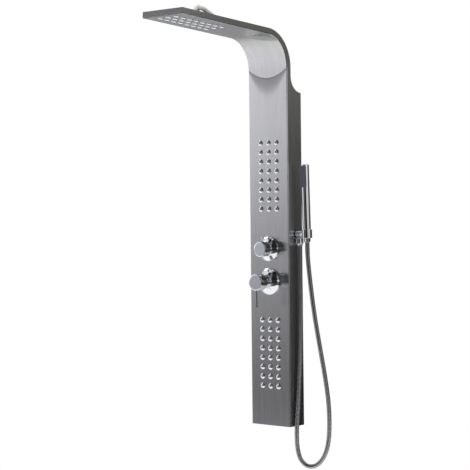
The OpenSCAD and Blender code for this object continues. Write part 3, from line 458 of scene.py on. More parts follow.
# The run to the wall panel's cord, the rise that swings with the clip, and the sleeve into the nut.
def buildHose(shape):
    line, travelled = evenly(smoothRoute(np.array(shape["route"]) * millimetre, 8), shape["pitch"] / 4)
    total = float(travelled[-1])
    cut = int(np.searchsorted(travelled, total - shape["rise"]))
    for name, part, body, standsFor, onIt in (
            ("showerHose", slice(0, cut + 1), "panel", ["shower_hose"], ["outletNut", "hose_washer"]),
            ("hoseRise", slice(cut, None), None, (), ["coneNut"])):
        points, faces = woundTube(line[part], travelled[part], shape)
        hose = newPiece(name, points, faces, body, "hoseMetal", "hose_metal", standsFor, 60)
        if body is None:
            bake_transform(hose)
    short = travelled > travelled[-1] - shape["sleeve"]
    step = shape["pitch"] / 4
    onward = np.arange(1, 1 + int(shape["intoNut"] / step))
    sleeveLine = np.concatenate([line[short], line[-1] + onward[:, None] * step * clipAxis(handShape)])
    sleeveTravel = np.concatenate([travelled[short], travelled[-1] + onward * step])
    points, faces = woundTube(sleeveLine, sleeveTravel, shape, shape["sleeveGap"])
    sleeve = newPiece("hoseSleeve", points, faces, None, "hoseMetal", "hose_metal", (), 60)
    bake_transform(sleeve)


panelShape = {
    "width": 0.160,
    "sheet": 0.0015,
    "fold": 0.0028,         # outside radius of the long folds
    "front": -0.0735,
    "foot": -1.0,
    "boxTop": 0.091,
    "rail": 0.020,          # depth of the neck and of the arm
    "notch": 0.0535,
    "bendCentre": (-0.1735, 0.1695),
    "bend": 0.100,
    "tilt": 3.3,
    "arm": 0.4175,
    "plateGap": 0.0001,
    "plateCorner": 0.0012,
    "plateEase": 0.0004,
}


# Stations up the front, round the bend and along the arm: place and inward direction in the (y, z) plane,
# distance travelled, and how far the side flange reaches back there.
def panelStations(shape):
    centre = np.array(shape["bendCentre"])
    tilt = math.radians(shape["tilt"])
    quarter = np.linspace(0, np.pi / 2, 25)
    notchTop = shape["boxTop"] + shape["notch"]
    low = np.linspace(shape["foot"], shape["boxTop"], 23)[:-1]
    notchZ = notchTop - shape["notch"] * np.cos(quarter)
    neck = np.linspace(notchTop, centre[1], 4)[1:-1]
    z = np.concatenate([low, notchZ, neck])
    depth = np.concatenate([np.full(len(low), -shape["front"]),
                            -shape["front"] - shape["notch"] * np.sin(quarter),
                            np.full(len(neck), shape["rail"])])
    straight = np.stack([np.full(len(z), shape["front"]), z], -1)
    turn = np.linspace(0, np.pi / 2 - tilt, 33)
    outward = np.stack([np.cos(turn), np.sin(turn)], -1)
    bend = centre + shape["bend"] * outward
    along = np.linspace(0, shape["arm"], 15)[1:, None]
    arm = bend[-1] + along * np.array([-math.cos(tilt), math.sin(tilt)])
    place = np.concatenate([straight, bend, arm])
    inward = np.concatenate([np.tile([1.0, 0.0], (len(z), 1)), outward,
                             np.tile(outward[-1], (len(arm), 1))])
    depth = np.concatenate([depth, np.full(len(bend) + len(arm), shape["rail"])])
    travelled = np.concatenate([[0], np.cumsum(np.linalg.norm(np.diff(place, axis=0), axis=1))])
    return place, inward, travelled, depth


# Closed channel section: outer line of flange, quarter-circle fold and web, mirrored, with the same line
# one sheet inside it as the way back. Carried over the stations and closed at both ends.
def buildPanel(shape):
    place, inward, travelled, depth = panelStations(shape)
    half, fold, sheet = shape["width"] / 2, shape["fold"], shape["sheet"]
    angle = np.linspace(0, np.pi / 2, 7)
    flange = np.array([1, 0.999, 0.75, 0.5, 0.25])
    web = np.linspace(half - fold, 0, 7)[1:]

    def halfLine(inset):
        x = np.concatenate([np.full(len(flange), half - inset),
                            half - fold + (fold - inset) * np.cos(angle), web])
        into = np.concatenate([np.zeros(len(flange)), fold - (fold - inset) * np.sin(angle),
                               np.full(len(web), inset)])
        return np.concatenate([x, -x[-2::-1]]), np.concatenate([into, into[-2::-1]])

    share = np.concatenate([flange, np.zeros(len(angle) + len(web))])
    share = np.concatenate([share, share[-2::-1]])
    outerX, outerIn = halfLine(0)
    innerX, innerIn = halfLine(sheet)
    x = np.concatenate([outerX, innerX[::-1]])
    fixedIn = np.concatenate([outerIn, innerIn[::-1]])
    share = np.concatenate([share, share[::-1]])
    into = np.where(share[None] > 0, fold + share[None] * (depth[:, None] - fold), fixedIn[None])
    yz = place[:, None] + into[..., None] * inward[:, None]
    points = np.concatenate([np.broadcast_to(x[None, :, None], (*into.shape, 1)), yz], -1)
    across = x[None] + np.sign(x)[None] * np.where(share[None] > 0, into, 0)
    uv = np.stack([across, np.broadcast_to(travelled[:, None], into.shape)], -1)
    count, rows = len(outerX), len(place)
    k = np.arange(count - 1)
    opposite = 2 * count - 1 - k
    endCap = np.stack([k, k + 1, opposite - 1, opposite], -1)
    faces = [gridFaces(rows, 2 * count, False, True), endCap, endCap[:, ::-1] + (rows - 1) * 2 * count]
    newPiece("panelSkin", points, faces, "panel", "panelSteel", "brushed_panel", ["panel_shell"], 30, uv)
    return place


# Rectangle with quarter-circle corners: radius (cos angle, sin angle) about each corner's centre, turned
# a quarter of a circle from one corner to the next.
def roundedRectangle(width, height, radius, steps=5):
    radius = max(min(radius, 0.499 * width, 0.499 * height), 1e-5)
    angle = np.linspace(0, np.pi / 2, steps)
    corner = radius * np.stack([np.cos(angle), np.sin(angle)], -1)
    middle = np.array([width / 2 - radius, height / 2 - radius])
    turns = np.array([[[1, 0], [0, 1]], [[0, 1], [-1, 0]], [[-1, 0], [0, -1]], [[0, -1], [1, 0]]])
    signs = np.array([[1, 1], [-1, 1], [-1, -1], [1, -1]])
    return np.concatenate([corner @ t + s * middle for t, s in zip(turns, signs)])


# Slab: rounded rectangles stacked by (inset, height), closed by its first and last outline.
def slab(width, height, radius, profile, steps=5):
    rings = [roundedRectangle(width - 2 * inset, height - 2 * inset, max(radius - inset, 0.0001), steps)
             for inset, _ in profile]
    count = len(rings[0])
    points = np.concatenate([
        np.concatenate([ring, np.full((count, 1), up)], -1) for ring, (_, up) in zip(rings, profile)])
    last = (len(rings) - 1) * count + np.arange(count)
    return points, [gridFaces(len(rings), count, False, True)[:, ::-1], np.arange(count)[None, ::-1],
                    last[None]]


# Both rims eased: (inset, height) cuts the corner in two steps.
def easedProfile(thickness, ease):
    return [(ease, 0), (0.3 * ease, 0.3 * ease), (0, ease), (0, thickness - ease),
            (0.3 * ease, thickness - 0.3 * ease), (ease, thickness)]


# Plate between the two flanges, its rim eased; its thickness runs along the axis.
def buildEndPlate(name, shape, origin, axis, depth):
    profile = easedProfile(shape["sheet"], shape["plateEase"])
    points, faces = slab(shape["width"] - 2 * plateBack, depth, shape["plateCorner"], profile)
    newPiece(name, placed(points, origin, axis), faces, "panel", "panelSteel", "brushed_panel", (), 30,
             points[:, :2])


place = buildPanel(panelShape)
plateBack = panelShape["sheet"] + panelShape["plateGap"]
tiltAngle = math.radians(panelShape["tilt"])
armWay = np.array([0, -math.cos(tiltAngle), math.sin(tiltAngle)])
armUp = np.array([0, math.sin(tiltAngle), math.cos(tiltAngle)])
armRoot = np.array([0, *place[-1]]) - panelShape["arm"] * armWay
armTip = np.array([0, *place[-1]])
buildEndPlate("armEnd", panelShape, armTip + armUp * (panelShape["rail"] + plateBack) / 2
              - armWay * panelShape["sheet"], armWay, panelShape["rail"] - plateBack)
buildEndPlate("footPlate", panelShape, (0, (panelShape["front"] + plateBack) / 2, panelShape["foot"]
              + panelShape["sheet"]), (0, 0, -1), -panelShape["front"] - plateBack)
print("panel folded")

# Millimetres; heights are measured out from the sheet.
jetShape = {
    "rim": 9.2,
    "dome": 4.0,
    "arcShare": 0.7,        # of the dome's height
    "bore": 3.3,
    "stem": 6.2,
    "stemLength": 7.0,
    "rainStemLength": 4.5,
    "tip": 2.85,
    "tipProud": 0.6,
    "columns": (-32.5, 0, 32.5),
    "rows": 8,
    "pitch": 31.0,
    "lowBlock": -870.0,
    "highBlock": -288.5,
    "rainPitch": 30.5,
    "rainEdge": 29.0,
    "segments": 28,
}


# Domed bezel: a low upright rim, then a circular arc up to a rounded lip at the bore. The arc's radius is
# (rim squared + rise squared) / (2 rise).
def jetBezel(shape, stemLength):
    rim, dome, bore, stem = (shape[k] for k in ("rim", "dome", "bore", "stem"))
    rise = shape["arcShare"] * dome
    arcR = (rim ** 2 + rise ** 2) / (2 * rise)
    radii = np.linspace(rim - 0.25, bore + 0.5, 8)
    crown = np.stack([radii, dome - arcR + np.sqrt(arcR ** 2 - radii ** 2)], -1)
    lip = crown[-1, 1]
    outline = [(bore, -stemLength), (stem, -stemLength), (stem, 0.02), (rim, 0.02),
               (rim, dome - rise - 0.25), *crown, (bore + 0.12, lip - 0.15), (bore, lip - 0.6), (bore, 0.5)]
    return turned(outline, shape["segments"], True)


# Soft nozzle in the bore: a short tube with a rounded end and a water hole.
def jetTip(shape, stemLength):
    tip, top = shape["tip"], shape["dome"] + shape["tipProud"]
    outline = [(1.1, -stemLength), (tip, -stemLength), (tip, top - 0.9), (tip - 0.25, top - 0.3),
               (tip - 0.8, top), (1.6, top), (1.15, top - 0.4), (1.1, top - 1.5)]
    return turned(outline, 20, True)


def buildJetBlock(name, shape, origins, outward, stemLength, nodeStart):
    for part, maker, finish, slotName, node in (
            ("Bezels", jetBezel, "chrome", "plated_steel", "bezels"),
            ("Tips", jetTip, "jetRubber", "jet_rubber", "tips")):
        points, faces = maker(shape, stemLength)
        points, faces = repeated(placed(points, (0, 0, 0), outward), faces, origins)
        newPiece(name + part, points, faces, "panel", finish, slotName, [nodeStart + node], 50)


# Two blocks up the front and one under the arm, each of columns times rows.
def buildJets(shape):
    rows = np.arange(shape["rows"])
    front = panelShape["front"]
    for start, prefix in ((shape["lowBlock"], "lower"), (shape["highBlock"], "upper")):
        origins = [(x * millimetre, front, (start + shape["pitch"] * i) * millimetre)
                   for x in shape["columns"] for i in rows]
        buildJetBlock(prefix + "Jet", shape, origins, (0, -1, 0), shape["stemLength"], prefix + "_jet_")
    origins = [armTip - armWay * (shape["rainEdge"] + shape["rainPitch"] * i) * millimetre
               + np.array([x * millimetre, 0, 0]) for x in shape["columns"] for i in rows]
    buildJetBlock("rainJet", shape, origins, -armUp, shape["rainStemLength"], "rain_jet_")


buildJets(jetShape)
print("jets set")

# Millimetres; outlines are (radius, distance out from the panel's face) and turn round the valve's axis.
valveShape = {
    "mixerPlate": (43.5, 18.5, 23.4),       # radius, dome height, hole
    "diverterPlate": (40.0, 16.0, 22.6),
    "rim": 6.5,
    "mixerCollar": 23.0,
    "collarRing": 24.5,
    "mixerBall": 22.0,
    "mixerPivot": 32.5,
    "ballWall": 2,
    "ballMouth": 13.3,
    "mixerKnob": (27.0, 44.5, 76.5),        # radius, back, face
    "diverterKnob": (25.0, 19.5, 51.5),
    "edge": 1.5,
    "capRim": 3.5,
    "capThickness": 1.2,
    "cup": 23.0,
    "lever": (2.25, 69.5, -16.0, -82.0),    # radius, distance out, root and start of the domed end
    "pin": (2.5, 39.5, 16.0, 36.0),
    "segments": 96,
}


# Domed cover plate: rolled rim, circular dome, turned-in hole, then the same line back along the inside.
# The dome's radius is (cap squared + dome squared) / (2 dome).
def coverPlate(shape, key, wall=1.5):
    radius, dome, hole = shape[key]
    rim = shape["rim"]
    capA = radius - 1
    capR = (capA ** 2 + dome ** 2) / (2 * dome)
    centre = rim + dome - capR
    r = np.linspace(capA, hole + 0.7, 22)
    crown = np.stack([r, centre + np.sqrt(capR ** 2 - r ** 2)], -1)
    rInner = np.linspace(hole, capA - wall, 14)
    inner = np.stack([rInner, centre + np.sqrt((capR - wall) ** 2 - rInner ** 2)], -1)
    inner = inner[inner[:, 1] > rim]
    topAtHole = centre + math.sqrt(capR ** 2 - hole ** 2)
    return [(radius - wall, 0.02), (radius, 0.02), (radius, rim - 1.6), (radius - 0.1, rim - 0.9),
            (radius - 0.4, rim - 0.35), *crown, (hole + 0.2, topAtHole - 0.1), (hole, topAtHole - 0.5),
            *inner, (radius - wall - 1, rim - 0.5), (radius - wall, rim - 2)]


# Fixed collar: sleeve, raised ring, then the ball the knob rolls on, ball (cos theta, sin theta) about the
# pivot, and the same arc back inside it.
def collarLine(shape):
    collar, ring, ball, pivot = (shape[k] for k in ("mixerCollar", "collarRing", "mixerBall", "mixerPivot"))
    inside = ball - shape["ballWall"]
    theta = np.linspace(0.12, math.acos(shape["ballMouth"] / ball), 14)
    arc = np.stack([np.cos(theta), np.sin(theta)], -1)
    return [(inside, 4.4), (collar - 0.3, 4.4), (collar, 4.7), (collar, pivot - 10.2),
            (ring - 0.4, pivot - 10), (ring, pivot - 9.6), (ring, pivot - 6.4), (ring - 0.4, pivot - 6),
            (collar, pivot - 5.8), (collar, pivot - 0.6), (ball + 0.2, pivot), *(ball * arc + (0, pivot)),
            *(inside * arc[::-1] + (0, pivot)), (inside, pivot)]


# Hollow back of the mixer's knob: cup (cos phi, sin phi) about the pivot, from the axis out to the back.
def cupLine(shape):
    cup, pivot, back = shape["cup"], shape["mixerPivot"], shape["mixerKnob"][1]
    phi = np.linspace(math.asin((back - pivot) / cup), np.pi / 2, 14)
    line = np.stack([cup * np.cos(phi), pivot + cup * np.sin(phi)], -1)[::-1]
    line[0, 0] = 0
    return [*line, (math.sqrt(cup ** 2 - (back - pivot) ** 2) + 0.4, back)]


# Knob: bevelled cylinder with a shallow recess for its face disc and a hollow or flat back.
def knobLine(shape, key, backLine):
    radius, back, face = shape[key]
    e = shape["edge"]
    recess = radius - shape["capRim"]
    deep = face - shape["capThickness"]
    return [*backLine, (radius - e, back), (radius - 0.35 * e, back + 0.3 * e), (radius, back + e),
            (radius, face - e), (radius - 0.3 * e, face - 0.35 * e), (radius - e, face),
            (recess + 0.25, face), (recess + 0.05, face - 0.2), (recess + 0.05, deep), (0, deep)]


# Disc set in the knob's face, its rim eased.
def discLine(shape, key):
    radius, _, face = shape[key]
    r = radius - shape["capRim"]
    low = face - shape["capThickness"] + 0.02
    return [(0, low), (r, low), (r, face - 0.3), (r - 0.1, face - 0.08), (r - 0.3, face), (0, face)]


# Round rod with a domed free end, along the panel from root to tip and some way out from its face.
def buildRod(name, body, finish, node, radius, out, root, tip, height):
    angle = np.linspace(0, np.pi / 2, 7)
    cap = np.stack([radius * np.cos(angle), abs(tip - root) + radius * np.sin(angle)], -1)
    cap[-1, 0] = 0
    points, faces = turned([(0, 0), (radius, 0), *cap], 24)
    origin = (0, panelShape["front"] - out * millimetre, height + root * millimetre)
    points = placed(points, origin, (0, 0, math.copysign(1, tip - root)))
    newPiece(name, points, faces, body, finish, "chrome_trim", [node])


# Plate, knob and disc of each valve, turned about its axis, and the mixer's collar.
def buildValves(shape):
    flatBack = [(0, shape["diverterKnob"][1])]
    collar = ("Collar", collarLine(shape), True, "collar")
    for valve, backLine, extra in (("mixer", cupLine(shape), [collar]), ("diverter", flatBack, [])):
        knob = valve + "Knob"
        low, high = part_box(valve + "_escutcheon")
        height = 0.5 * (low[2] + high[2])
        for part, outline, ring, node in (("Plate", coverPlate(shape, valve + "Plate"), True, "escutcheon"),
                                          *extra,
                                          ("Knob", knobLine(shape, knob, backLine), False, "knob"),
                                          ("Disc", discLine(shape, knob), False, "knob_cap")):
            body = "panel" if ring else valve + "_handle"
            finish, slotName = (valve + part, "satin_cap") if part == "Disc" else ("chrome", "chrome_trim")
            points, faces = turned(outline, shape["segments"], ring)
            points = placed(points, (0, panelShape["front"], height), (0, -1, 0))
            newPiece(valve + part, points, faces, body, finish, slotName, [valve + "_" + node])
        if valve == "mixer":
            buildRod("mixerLever", "mixer_handle", "leverChromePaintedShade", "mixer_lever", *shape["lever"], height)
        else:
            buildRod("diverterPin", "diverter_handle", "chrome", "diverter_pin", *shape["pin"], height)


buildValves(valveShape)
print("valves fitted")

# Millimetres. Heights of the stick's pieces are measured along the clip's axis.
handShape = {
    "axis": (125, -34, -371),
    "lean": 2.0,
    "clip": (17.0, -14.0, 15.0),
    "clipHub": (9.0, -17.2, -8.5),
    "cone": (10.6, -27.0, 13.3, 16.0),      # low radius and height, high radius and height
    "stick": (13.5, 16.0, 222.0, 225.5),
    "spray": (22.0, 151.0, 221.0, 5.0, 0.8),
    "nozzles": (3, 11, 6.0, 1.2),
    "elbow": (9.0, 81.5, 107.5),
    "spout": (8.0, 95.0, 18.0),
    "gasket": (12.0, 80.0, 81.5),
    "gasketBore": 8.3,
    "seatGap": 0.3,         # between the clip's ring and the cone
    "outletNut": (12.5, -12.0, -39.0),
}


def clipAxis(shape):
    lean = math.radians(shape["lean"])
    return np.array([0, -math.sin(lean), math.cos(lean)])


def inClip(points, shape):
    return placed(points, np.array(shape["axis"]) * millimetre, clipAxis(shape))


# Piece of the clip or the stick, turned about the clip's axis from an outline in millimetres.
def buildTurned(name, shape, outline, segments, ring, body, finish, slot, node):
    points, faces = turned(outline, segments, ring)
    newPiece(name, inClip(points, shape), faces, body, finish, slot, [node])


# Fixed outlet: gasket, arm, spout and its nut.
def buildOutlet(shape):
    centre = np.array(shape["axis"]) * millimetre
    armCentre = (0, centre[1], centre[2])
    radius, start, end = shape["gasket"]
    bore = shape["gasketBore"]
    outline = rounded([(bore, start), (radius, start), (radius, end), (bore, end)], 0.4)
    points, faces = turned(outline, 48, True)
    newPiece("outletGasket", placed(points, armCentre, (1, 0, 0), (0, 0, 1)), faces, "panel", "blackRubber",
             "black_rubber", ["outlet_gasket"])
    radius, start, end = shape["elbow"]
    outline = [(0, 66), (8, 66), (8, start), (radius - 0.3, start), (radius, start + 0.3),
               (radius, end - 0.6), (radius - 0.6, end), (0, end)]
    points, faces = turned(outline, 48)
    arm = placed(points, armCentre, (1, 0, 0), (0, 0, 1)), faces
    spoutR, spoutX, spoutDown = shape["spout"]
    spoutTop = (spoutX * millimetre, centre[1], centre[2])
    outline = [(0, 0), (spoutR, 0), (spoutR, spoutDown - 0.4), (spoutR - 0.4, spoutDown), (0, spoutDown)]
    points, faces = turned(outline, 40)
    spout = placed(points, spoutTop, (0, 0, -1)), faces
    newPiece("holderElbow", *joined(arm, spout), "panel", "armChrome", "chrome_trim", ["holder_elbow"])
    radius, top, low = shape["outletNut"]
    outline = rounded([(7.6, low), (radius - 2.4, low), (radius - 1.6, low + 5), (radius, low + 7),
                       (radius, top - 4), (9.5, top), (7.6, top)], [0, 0.8, 0.7, 0.7, 0.5, 0.5, 0], 4)
    points, faces = turned(outline, 48, True)
    newPiece("outletNut", placed(points, spoutTop, (0, 0, 1)), faces, "panel", "chrome", "chrome_trim",
             ["hose_outlet_nut"])


# Swivelling clip: a ring that follows the cone inside it, and the hub it turns on.
def buildClip(shape):
    radius, low, high = shape["clip"]
    coneLowR, coneLow, coneHighR, coneHigh = shape["cone"]
    grow = (coneHighR - coneLowR) / (coneHigh - coneLow)
    seatLow, seatHigh = (coneLowR + grow * (z - coneLow) + shape["seatGap"] for z in (low, high))
    outline = rounded([(seatLow, low), (radius, low), (radius, high), (seatHigh, high), (seatLow, low)],
                      1.3)
    ring = turned(outline[:-1], 64, True)
    hubR, hubStart, hubEnd = shape["clipHub"]
    hubLine = rounded([(0, hubStart), (hubR, hubStart), (hubR, hubEnd), (0, hubEnd)], 0.6)
    points, faces = turned(hubLine, 40)
    points, faces = joined(ring, (points[:, [2, 1, 0]] * np.array([1, 1, -1]), faces))
    newPiece("holderClip", inClip(points, shape), faces, "clip", "chromedPlastic", "chromed_plastic",
             ["holder_clip"])


# Cone nut, stick and end cap.
def buildStick(shape):
    coneLowR, coneLow, coneHighR, coneHigh = shape["cone"]
    outline = [(7.9, coneLow + 0.4), (8.4, coneLow), (coneLowR - 0.5, coneLow), (coneLowR, coneLow + 0.5),
               (coneHighR, coneHigh - 0.5), (coneHighR - 0.4, coneHigh), (9.4, coneHigh), (9.4, 1),
               (7.9, 1)]
    buildTurned("coneNut", shape, outline, 64, True, "handset", "chrome", "chrome_trim", "hose_cone_nut")
    radius, low, joint, top = shape["stick"]
    outline = [(0, 3), (9.2, 3), (9.2, low), (radius - 0.5, low + 0.05), (radius, low + 0.5),
               *[(radius, z) for z in np.linspace(low + 12, joint - 0.5, 10)], (radius - 0.4, joint - 0.05),
               (0, joint)]
    buildTurned("stick", shape, outline, 64, False, "handset", "chromedPlastic", "chromed_plastic",
                "handset_body")
    outline = [(0, joint), (radius - 0.4, joint + 0.05), (radius, joint + 0.45), (radius, top - 1.5),
               (radius - 0.3, top - 0.8), (radius - 0.8, top - 0.25), (radius - 1.6, top), (0, top)]
    buildTurned("stickEnd", shape, outline, 64, False, "handset", "chromedPlastic", "chromed_plastic",
                "handset_end_cap")


# Spray plate and its grid of nozzles; the slab's local z points forwards.
def buildSpray(shape):
    radius = shape["stick"][0]
    width, low, high, thickness, proud = shape["spray"]
    points, faces = slab(width * millimetre, (high - low) * millimetre, 0.0035,
                         easedProfile(thickness * millimetre, 0.0008), 7)
    middle = 0.5 * (low + high)
    back = radius + proud - thickness
    points = np.stack([points[:, 0], -points[:, 2] - back * millimetre, points[:, 1] + middle * millimetre],
                      -1)
    newPiece("sprayPlate", inClip(points, shape), faces, "handset", "sprayPlastic", "spray_plastic",
             ["handset_spray_face"])
    columns, rows, pitch, nozzleR = shape["nozzles"]
    outline = [(0.4, -1.5), (nozzleR, -1.5), (nozzleR, 0.1), (nozzleR - 0.3, 0.65), (0.55, 0.7), (0.4, 0.3)]
    points, faces = turned(outline, 10, True)
    origins = [((c - (columns - 1) / 2) * pitch * millimetre, -(radius + proud) * millimetre,
                (middle + (i - (rows - 1) / 2) * pitch) * millimetre) for c in range(columns)
               for i in range(rows)]
    points, faces = repeated(placed(points, (0, 0, 0), (0, -1, 0)), faces, origins)
    newPiece("sprayNozzles", inClip(points, shape), faces, "handset", "blackRubber", "black_rubber",
             ["handset_nozzles"], 50)


for build in (buildOutlet, buildClip, buildStick, buildSpray):
    build(handShape)
buildHose(hoseShape)
print("hand shower and hose made")

# Millimetres, along the arm from the bend and up from its underside.
rainFeedShape = {
    "elbowAt": 272.0,
    "elbow": 9.0,
    "lip": (9.3, 4),
    "bend": 12.0,
    "rise": 40.0,
    "run": 12.0,
    "nut": (14.0, 15.6, 24.5),
    "hose": 7.0,
    "overArm": [(248, 52), (230, 52), (193, 41), (153, 26), (113, 15.5), (73, 10.5), (36.5, 10.5)],
    "roundBend": 110.5,
    "down": [(0, -59, 124.5), (0, -46, 81), (0, -40, 31), (0, -40, -164), (0, -41, -328.5),
             (0, -46, -359.5), (0, -50, -379.5), (0, -50, -389.5)],
}


def armPoint(along, up):
    return armRoot + (along * armWay + up * armUp) * millimetre


# Elbow up out of the rain chamber and back over the arm, with its nut, and the hose that feeds it.
def buildRainFeed(shape):
    at, bend, rise, run = shape["elbowAt"], shape["bend"], shape["rise"], shape["run"]
    angle = np.linspace(0, np.pi / 2, 12)
    local = [(at, 16), (at, 26), (at, rise), *[(at - bend + bend * math.cos(a), rise + bend * math.sin(a))
             for a in angle[1:]], (at - bend - run + 0.02, rise + bend)]
    path = np.array([armPoint(*p) for p in local])
    body = sweptTube(path, shape["elbow"] * millimetre, (1, 0, 0), 32)
    lipR, lipLong = shape["lip"]
    outline = rounded([(0, 0), (lipR, 0), (lipR, lipLong), (0, lipLong)], 0.3)
    points, faces = turned(outline, 32)
    lip = placed(points, path[-1] + armWay * lipLong * millimetre, -armWay), faces
    newPiece("rainElbow", *joined(body, lip), "panel", "whitePlastic", "white_plastic",
             ["rain_inlet_elbow"])
    radius, low, high = shape["nut"]
    outline = rounded([(9.1, low), (radius - 0.8, low), (radius, low + 0.8), (radius, high - 0.8),
                       (radius - 0.8, high), (9.1, high), (9.1, low)], [0, 0, 0.3, 0.3, 0, 0, 0])
    points, faces = turned(outline[:-1], 6, True)
    newPiece("rainNut", placed(points, armPoint(at, 0), armUp), faces, "panel", "whitePlastic",
             "white_plastic", ["rain_elbow_nut"], 20)
    centre = np.array([0, *panelShape["bendCentre"]])
    turn = np.linspace(np.pi / 2 - tiltAngle, 0, 9)
    arc = [centre + shape["roundBend"] * millimetre * np.array([0, math.cos(a), math.sin(a)]) for a in turn]
    route = [*[armPoint(*p) for p in shape["overArm"]], *arc,
             *[np.array(p) * millimetre for p in shape["down"]]]
    line, _ = evenly(smoothRoute(route, 8), 0.005)
    points, faces = sweptTube(line, shape["hose"] * millimetre, (1, 0, 0), 20)
    newPiece("rainHose", points, faces, "panel", "whiteHose", "white_hose", ["rain_supply_hose"], 60)


buildRainFeed(rainFeedShape)
print("rain feed run")

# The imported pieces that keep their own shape, by finish.
keptNodes = {
    "zincPlate": ["upper_hanger_strip", "lower_hanger_strip", "upper_wall_bracket", "lower_wall_bracket",
                  "mixer_pivot_pin", "mixer_stem", "clip_screw"],
    "blackPlastic": ["rain_chamber", "rain_chamber_lid", "upper_jet_manifold", "upper_manifold_lid",
                     "lower_jet_manifold", "lower_manifold_lid"],
    "whiteHose": ["upper_jet_hose", "lower_jet_hose"],
    "brass": ["mixer_body", "mixer_lock_nut", "mixer_carrier", "diverter_body", "diverter_lock_nut",
              "diverter_spindle", "outlet_back_nut"],
    "whitePlastic": ["mixer_cartridge", "diverter_cartridge"],
    "copper": ["transfer_pipe", "outlet_pipe"],
    "blackRubber": ["handset_washer", "hose_washer"],
}


def finishKept(groups):
    for finish, names in groups.items():
        for name in names:
            mesh = nodes[name].data
            if not mesh.materials:
                mesh.materials.append(finishes[finish])
            for materialSlot in nodes[name].material_slots:
                materialSlot.material = finishes[finish]
            ease = nodes[name].modifiers.new("weld", "WELD")
            ease.merge_threshold = 0.00001
            bevel = nodes[name].modifiers.new("ease", "BEVEL")
            bevel.width = 0.0003
            bevel.segments = 2
            bevel.limit_method = "ANGLE"
            bevel.angle_limit = math.radians(40)


finishKept(keptNodes)
print("kept pieces finished")

# Surroundings seen only in reflections: each glow is brightness by the angle round from the front (towards
# the left) times brightness by height above the horizon, both in degrees.
studio = {
    "glows": {
        "walls": (
            [(-180, 0.11), (-112, 0.11), (-103, 1.3), (-52, 1.3), (-45, 0.04), (-10, 0.05), (-7, 0.35),
             (7, 0.35), (10, 0.05), (31, 0.06), (36, 1.5), (42, 1.9), (75, 1.7), (112, 1.5), (150, 1.3),
             (172, 1.1), (180, 0.12)],
            [(-90, 0.0), (-30, 0.05), (-12, 0.06), (-8, 0.115), (-4, 0.35), (0, 0.56), (4, 0.97), (7, 0.97),
             (9.5, 0.27), (14, 0.16), (22, 0.4), (35, 0.5), (48, 0.5), (53, 0.08), (60, 0.08), (66, 0.5),
             (90, 0.5)],
        ),
        "below": (
            [(-180, 0.03), (-20, 0.06), (25, 0.6), (35, 1.15), (85, 1.1), (105, 0.36), (130, 0.3),
             (139, 0.38), (180, 0.4)],
            [(-90, 0.6), (-60, 0.7), (-45, 1.0), (-11, 1.0), (-9.5, 0.2), (-8.5, 0.0)],
        ),
        "backRight": (
            [(-180, 0.0), (-172, 0.22), (-118, 0.22), (-108, 0.0)],
            [(3, 0.0), (10, 1.0), (40, 1.0), (55, 0.0)],
        ),
    },
    "cool": (0.985, 0.985, 1.02),
    "warm": (1.0, 1.02, 0.93),
    "coolAbove": 0.3,
    "strength": 2.0,
    "floorBelow": -1.75,
    "floorSize": 4.0,
}


# Product of the two ramps: colour by the angle round, cool where bright and warm where dark, times grey by
# height. Brightness is divided by the world's strength.
def glowOf(tree, around, height, aroundStops, upStops, setup):
    tinted = [(place / 360 + 0.5, [value * t / setup["strength"] for t in
                                   (setup["cool"] if value > setup["coolAbove"] else setup["warm"])])
              for place, value in aroundStops]
    grey = [(place / 180 + 0.5, (value,) * 3) for place, value in upStops]
    return mathNode(tree, "MULTIPLY", colorStops(tree, around, tinted), colorStops(tree, height, grey),
                    kind="VectorMath")


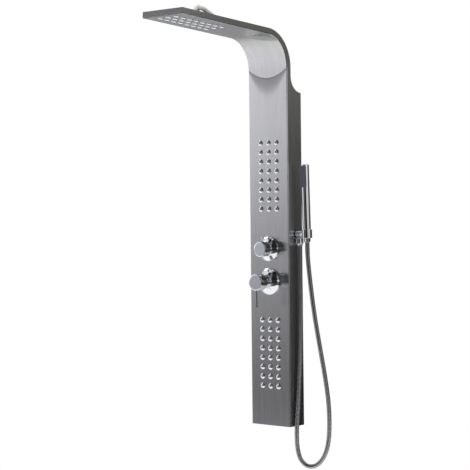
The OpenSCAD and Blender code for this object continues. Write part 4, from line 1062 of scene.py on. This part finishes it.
# Sum of the glows, seen by everything but the camera, which sees white.
def buildStudio(setup):
    bpy.context.scene.view_settings.view_transform = "Standard"
    world = bpy.data.worlds.new("studio")
    world.use_nodes = True
    bpy.context.scene.world = world
    tree = world.node_tree
    axes = addNode(tree, "SeparateXYZ", addNode(tree, "TexCoord").outputs["Generated"])
    toLeft, toFront = (mathNode(tree, "MULTIPLY", axes.outputs[k], -1.0) for k in (0, 1))
    around = mathNode(tree, "MULTIPLY_ADD", mathNode(tree, "ARCTAN2", toLeft, toFront), 0.5 / math.pi, 0.5)
    height = mathNode(tree, "MULTIPLY_ADD", mathNode(tree, "ARCSINE", axes.outputs[2]), 1 / math.pi, 0.5)
    glow = (0, 0, 0)
    for aroundStops, upStops in setup["glows"].values():
        one = glowOf(tree, around, height, aroundStops, upStops, setup)
        glow = mathNode(tree, "ADD", glow, one, kind="VectorMath")
    background = tree.nodes["Background"]
    plug(tree, background.inputs["Color"], glow)
    background.inputs["Strength"].default_value = setup["strength"]
    backdrop = addNode(tree, "Background", (1, 1, 1, 1)).outputs[0]
    toCamera = addNode(tree, "LightPath").outputs["Is Camera Ray"]
    mix = addNode(tree, "MixShader", toCamera, background.outputs[0], backdrop)
    plug(tree, tree.nodes["World Output"].inputs["Surface"], mix.outputs[0])


def buildFloor(setup):
    edge = np.linspace(-0.5, 0.5, 5) * setup["floorSize"]
    x, y = np.meshgrid(edge, edge, indexing="ij")
    points = np.stack([x, y, np.full(x.shape, setup["floorBelow"])], -1).reshape(-1, 3)
    mesh = bpy.data.meshes.new("floor")
    mesh.from_pydata(points, [], gridFaces(5, 5, False, False)[:, ::-1].tolist())
    mesh.materials.append(moulded("paleFloor", (0.8, 0.8, 0.79), 0.7, 60, 0.02))
    floor = addObject("floor", mesh)


# Rectangular lamp at place, shining along its own -z towards the target.
def addSoftLight(name, place, target, size, power):
    data = bpy.data.lights.new(name, "AREA")
    data.shape = "RECTANGLE"
    data.size, data.size_y = size
    data.energy = power
    light = addObject(name, data)
    way = np.array(target, float) - np.array(place, float)
    back = -way / np.linalg.norm(way)
    right = np.cross([0, 0, 1], back)
    right /= np.linalg.norm(right)
    matrix = np.eye(4)
    matrix[:3] = np.stack([right, np.cross(back, right), back, place], -1)
    light.matrix_world = Matrix(matrix.tolist())


softLights = {
    "key": ((-2.6, 0.6, 2.4), (0, 0, -0.3), (1.6, 1.6), 45),
    "fill": ((2.6, 1.6, 2.2), (0, -0.2, -0.3), (1.8, 1.8), 15),
}
# Broad lights for the plastics only: metal mirrors the glows instead.
skyLights = {
    "skyLeft": {"from": (-0.9, -1.0, 1.2), "angle": 70, "strength": 3.0},
    "skyRight": {"from": (1.0, -0.7, 0.9), "angle": 60, "strength": 1.3},
}


def addSkyLight(name, setup):
    data = bpy.data.lights.new(name, "SUN")
    data.angle = math.radians(setup["angle"])
    data.energy = setup["strength"]
    light = addObject(name, data)
    light.visible_glossy = False
    light.rotation_euler = Vector(setup["from"]).to_track_quat("Z", "Y").to_euler()


buildStudio(studio)
buildFloor(studio)
for lightName, (place, target, size, power) in softLights.items():
    addSoftLight(lightName, place, target, size, power)
for lightName, setup in skyLights.items():
    addSkyLight(lightName, setup)
print("studio lit")
